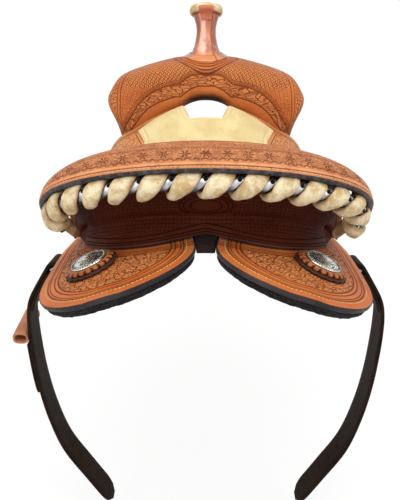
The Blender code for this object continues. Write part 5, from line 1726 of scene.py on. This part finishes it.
def buildStraps():
    g = strapShape
    path, finish, bar = billetPath(), strapLeather("billetLeather"), barCentre()[1]
    leg = np.array([p for p in billetLeg if p[1] < -0.02])
    way = unitWays(leg)
    outer = leg + np.stack([-way[:, 1], way[:, 0]], axis=1) * (g["leather"] / 2 + 0.0001)
    for side, body, flip in (("left", "near_billet", mirrorX), ("right", "off_billet", np.ones(3))):
        rings, uvs = strapRings(path, g["leather"], g["width"], flip, 0.030)
        billet = loftPiece("billet" + side.title(), rings, [finish], uvs=uvs)
        placed(billet, "billet_" + side, slot="dark", body=body)
        rows = [[np.array([x, bar + edge * (g["width"] / 2 - g["stitchWay"]), z]) * flip
                 for x, z in outer[4:-6]] for edge in (-1, 1)]
        rowAlong("billetStitches" + side.title(), rows, darkThread, g["stitch"], body=body)

    wide, high = g["keeperHalf"]
    below = g["keeperHeight"] - high - 0.002
    lifts = lifted(billetLeg, g["leather"] / 2 + leather["layerGap"] + g["safe"] / 2)
    lying = [q for p, q in zip(billetLeg, lifts) if g["safeBottom"] < p[1] < below]
    rings, uvs = strapRings(lying, g["safe"], g["safeWidth"], mirrorX, 0.018)
    safe = loftPiece("billetSafe", rings, [strapLeather("safeLeather", holes=False)], uvs=uvs)
    placed(safe, "billet_safe", slot="dark", body="near_billet")

    strap = min(billetLeg, key=lambda p: abs(p[1] - g["keeperHeight"]))[0]
    middle = strap + g["leather"] / 2 + leather["layerGap"] + wide
    start, wall = bar - g["width"] / 2, g["keeperWall"]
    stations = [(0.0004, 0.0), (0.0, 0.0012), (0.0, g["keeperLong"] * 0.33), (0.0, g["keeperLong"] * 0.66),
                (0.0, g["keeperLong"] - 0.0012), (0.0004, g["keeperLong"]), (wall - 0.0004, g["keeperLong"]),
                (wall, g["keeperLong"] - 0.0012), (wall, 0.0012), (wall - 0.0004, 0.0)]
    rings, uvs = [], []
    for turn in circle(56):
        x, z = squarer(math.cos(turn), 0.7), squarer(math.sin(turn), 0.7)
        rings.append([np.array([middle + (wide - w) * x, start + y,
                                g["keeperHeight"] + (high - w) * z]) * mirrorX
                      for w, y in stations])
        uvs += [(turn * 0.01, y) for _, y in stations]
    keeper = loftPiece("keeperLoop", rings, [keeperLeather()], closed=True, uvs=uvs)
    placed(keeper, "keeper_loop", slot="tooled", body="near_billet")


def keeperLeather():
    s = newMaterial("keeperLeather", coat=0.05)
    grain = s.use(groups["grain"], Vector=s.place())
    v = s.split(s.surface())[1]
    fine = s.size(s.calc("SINE", s.times(v, 700.0)))
    ribs = s.times(s.fall(fine, 0.0, 0.35), between(s, v, 0.006, 0.060))
    tone = mottled(s, grain, (0.52, 0.185, 0.085), (0.66, 0.29, 0.15))
    tone = s.mix(s.times(ribs, 0.45), tone, (0.28, 0.075, 0.035))
    return s.finish(tone, (grain["Mottle"], 0.3, 0.34), s.minus(grain["Height"], s.times(ribs, 2.0)), 0.0004)


buildStraps()
print("billets, safe and keeper ready")

# Small leather: tongue between the skirts, jockeys before the fork, skirt stitches

tongueShape = {"ends": (-0.197, -0.145), "face": -0.0015, "back": -0.0115}
jockeyShape = {"offBar": 0.006, "padOuter": 0.130, "wide": 0.030, "rear": 0.160, "front": 0.298}
frontLook = {**tan, "depth": 0.0008,
             "fields": [{"kind": "leaves", "size": 0.022, "where": [("edgeWay", 0.0050, 1.0)]}],
             "lines": [("edgeWay", 0.0022, 0.0009), ("edgeWay", 0.0045, 0.0012)]}
seam = {"inset": 0.0095, "reach": 0.15, "stitch": (0.0046, 0.0016, 0.0005)}


def buildTongue():
    g = tongueShape
    places = span(*g["ends"], 20)
    top, bottom, uvs = [], [], []
    for share in span(-1.0, 1.0, 13):
        row = [(share * (skirtEdges(y)[0] - leather["layerGap"]), y) for y in places]
        top.append([onBack(*p, g["face"]) for p in row])
        bottom.append([onBack(*p, g["back"]) for p in row])
        uvs.append(row)
    tongue = sheetPiece("skirtTongue", top, bottom, [darkStrap] * 3, uvs, roundness=0.0012)
    placed(tongue, "skirt_connector", slot="dark")


def buildJockeys():
    g = jockeyShape
    high, low = [], []
    for i in range(15):
        up, down = [], []
        for k in range(61):
            share = k / 60
            y = g["rear"] + (g["front"] - g["rear"]) * share
            bow = math.sin(math.pi * min(1.0, 0.12 + 0.88 * (1 - abs(2 * share - 1))) / 2)
            x = g["padOuter"] + g["offBar"] + g["wide"] * bow * i / 14
            up.append(onBack(x, y, leather["layerGap"] + leather["cover"]))
            down.append(onBack(x, y, leather["layerGap"]))
        high.append(up)
        low.append(down)
    high, low = np.array(high), np.array(low)
    ways, alongs = wayToLine(high, outline(high))
    finish = tooledLeather("frontJockeyLeather", frontLook)
    for side, flip in bothSides:
        jockey = sheetPiece("frontJockey" + side.title(), high * flip, low * flip,
                            [finish, edgeInk, fleshSide], flatBack(high) * flip[:2],
                            {"edgeWay": ways, "alongWay": alongs}, roundness=0.0009)
        placed(jockey, "front_jockey_" + side, slot="tooled")


def sewSkirts():
    # Two plies of skirt leather are sewn along the edge
    loop, line = skirtOutline[:-1], []
    ahead, behind = np.roll(loop, -3, axis=0), np.roll(loop, 3, axis=0)
    for p, a, b in zip(loop, ahead, behind):
        inward = np.cross(upFrom(p[0], p[1]), (a - b) / max(np.linalg.norm(a - b), 1e-9))
        if np.dot(inward, skirtCentre - p) < 0 and abs(p[1]) < seam["reach"]:
            inward = -inward
        q = p + seam["inset"] * inward
        line.append(onBack(q[0], q[1], 0.0002))
    line = np.array(line + line[:1])
    for side, flip in bothSides:
        rowAlong("skirtStitches" + side.title(), [line * flip], paleThread, seam["stitch"])


buildTongue()
buildJockeys()
sewSkirts()
print("small leather ready")

# Finishes of the frame's own solids


def stainless():
    s = newMaterial("stainless", metallic=1.0, specular=0.5)
    scratch = s.noise(s.vector("MULTIPLY", s.place(), (1800.0, 160.0, 1800.0)), 1.0)
    tone = s.mix(scratch, (0.50, 0.49, 0.47), (0.68, 0.67, 0.65))
    return s.finish(tone, (scratch, 0.3, 0.2), scratch, 0.00015)


def dressSolids():
    steel = stainless()
    finishes = {"horn_post": steel, "gullet_lining": fleshSide, "tree_fork": smoothTan,
                "tree_cantle": smoothTan, "tree_bar_left": smoothTan, "tree_bar_right": smoothTan,
                "ground_seat": groundHide,
                "binding_core": edgeInk, "horn_cap_base": smoothTan}
    for name, node in nodes.items():
        finish = steel if name.startswith(("rigging_plate", "rivet")) else finishes.get(name)
        if finish and not node.hide_render:
            for slot in node.material_slots:
                slot.material = finish
            if not node.material_slots:
                node.data.materials.append(finish)


dressSolids()
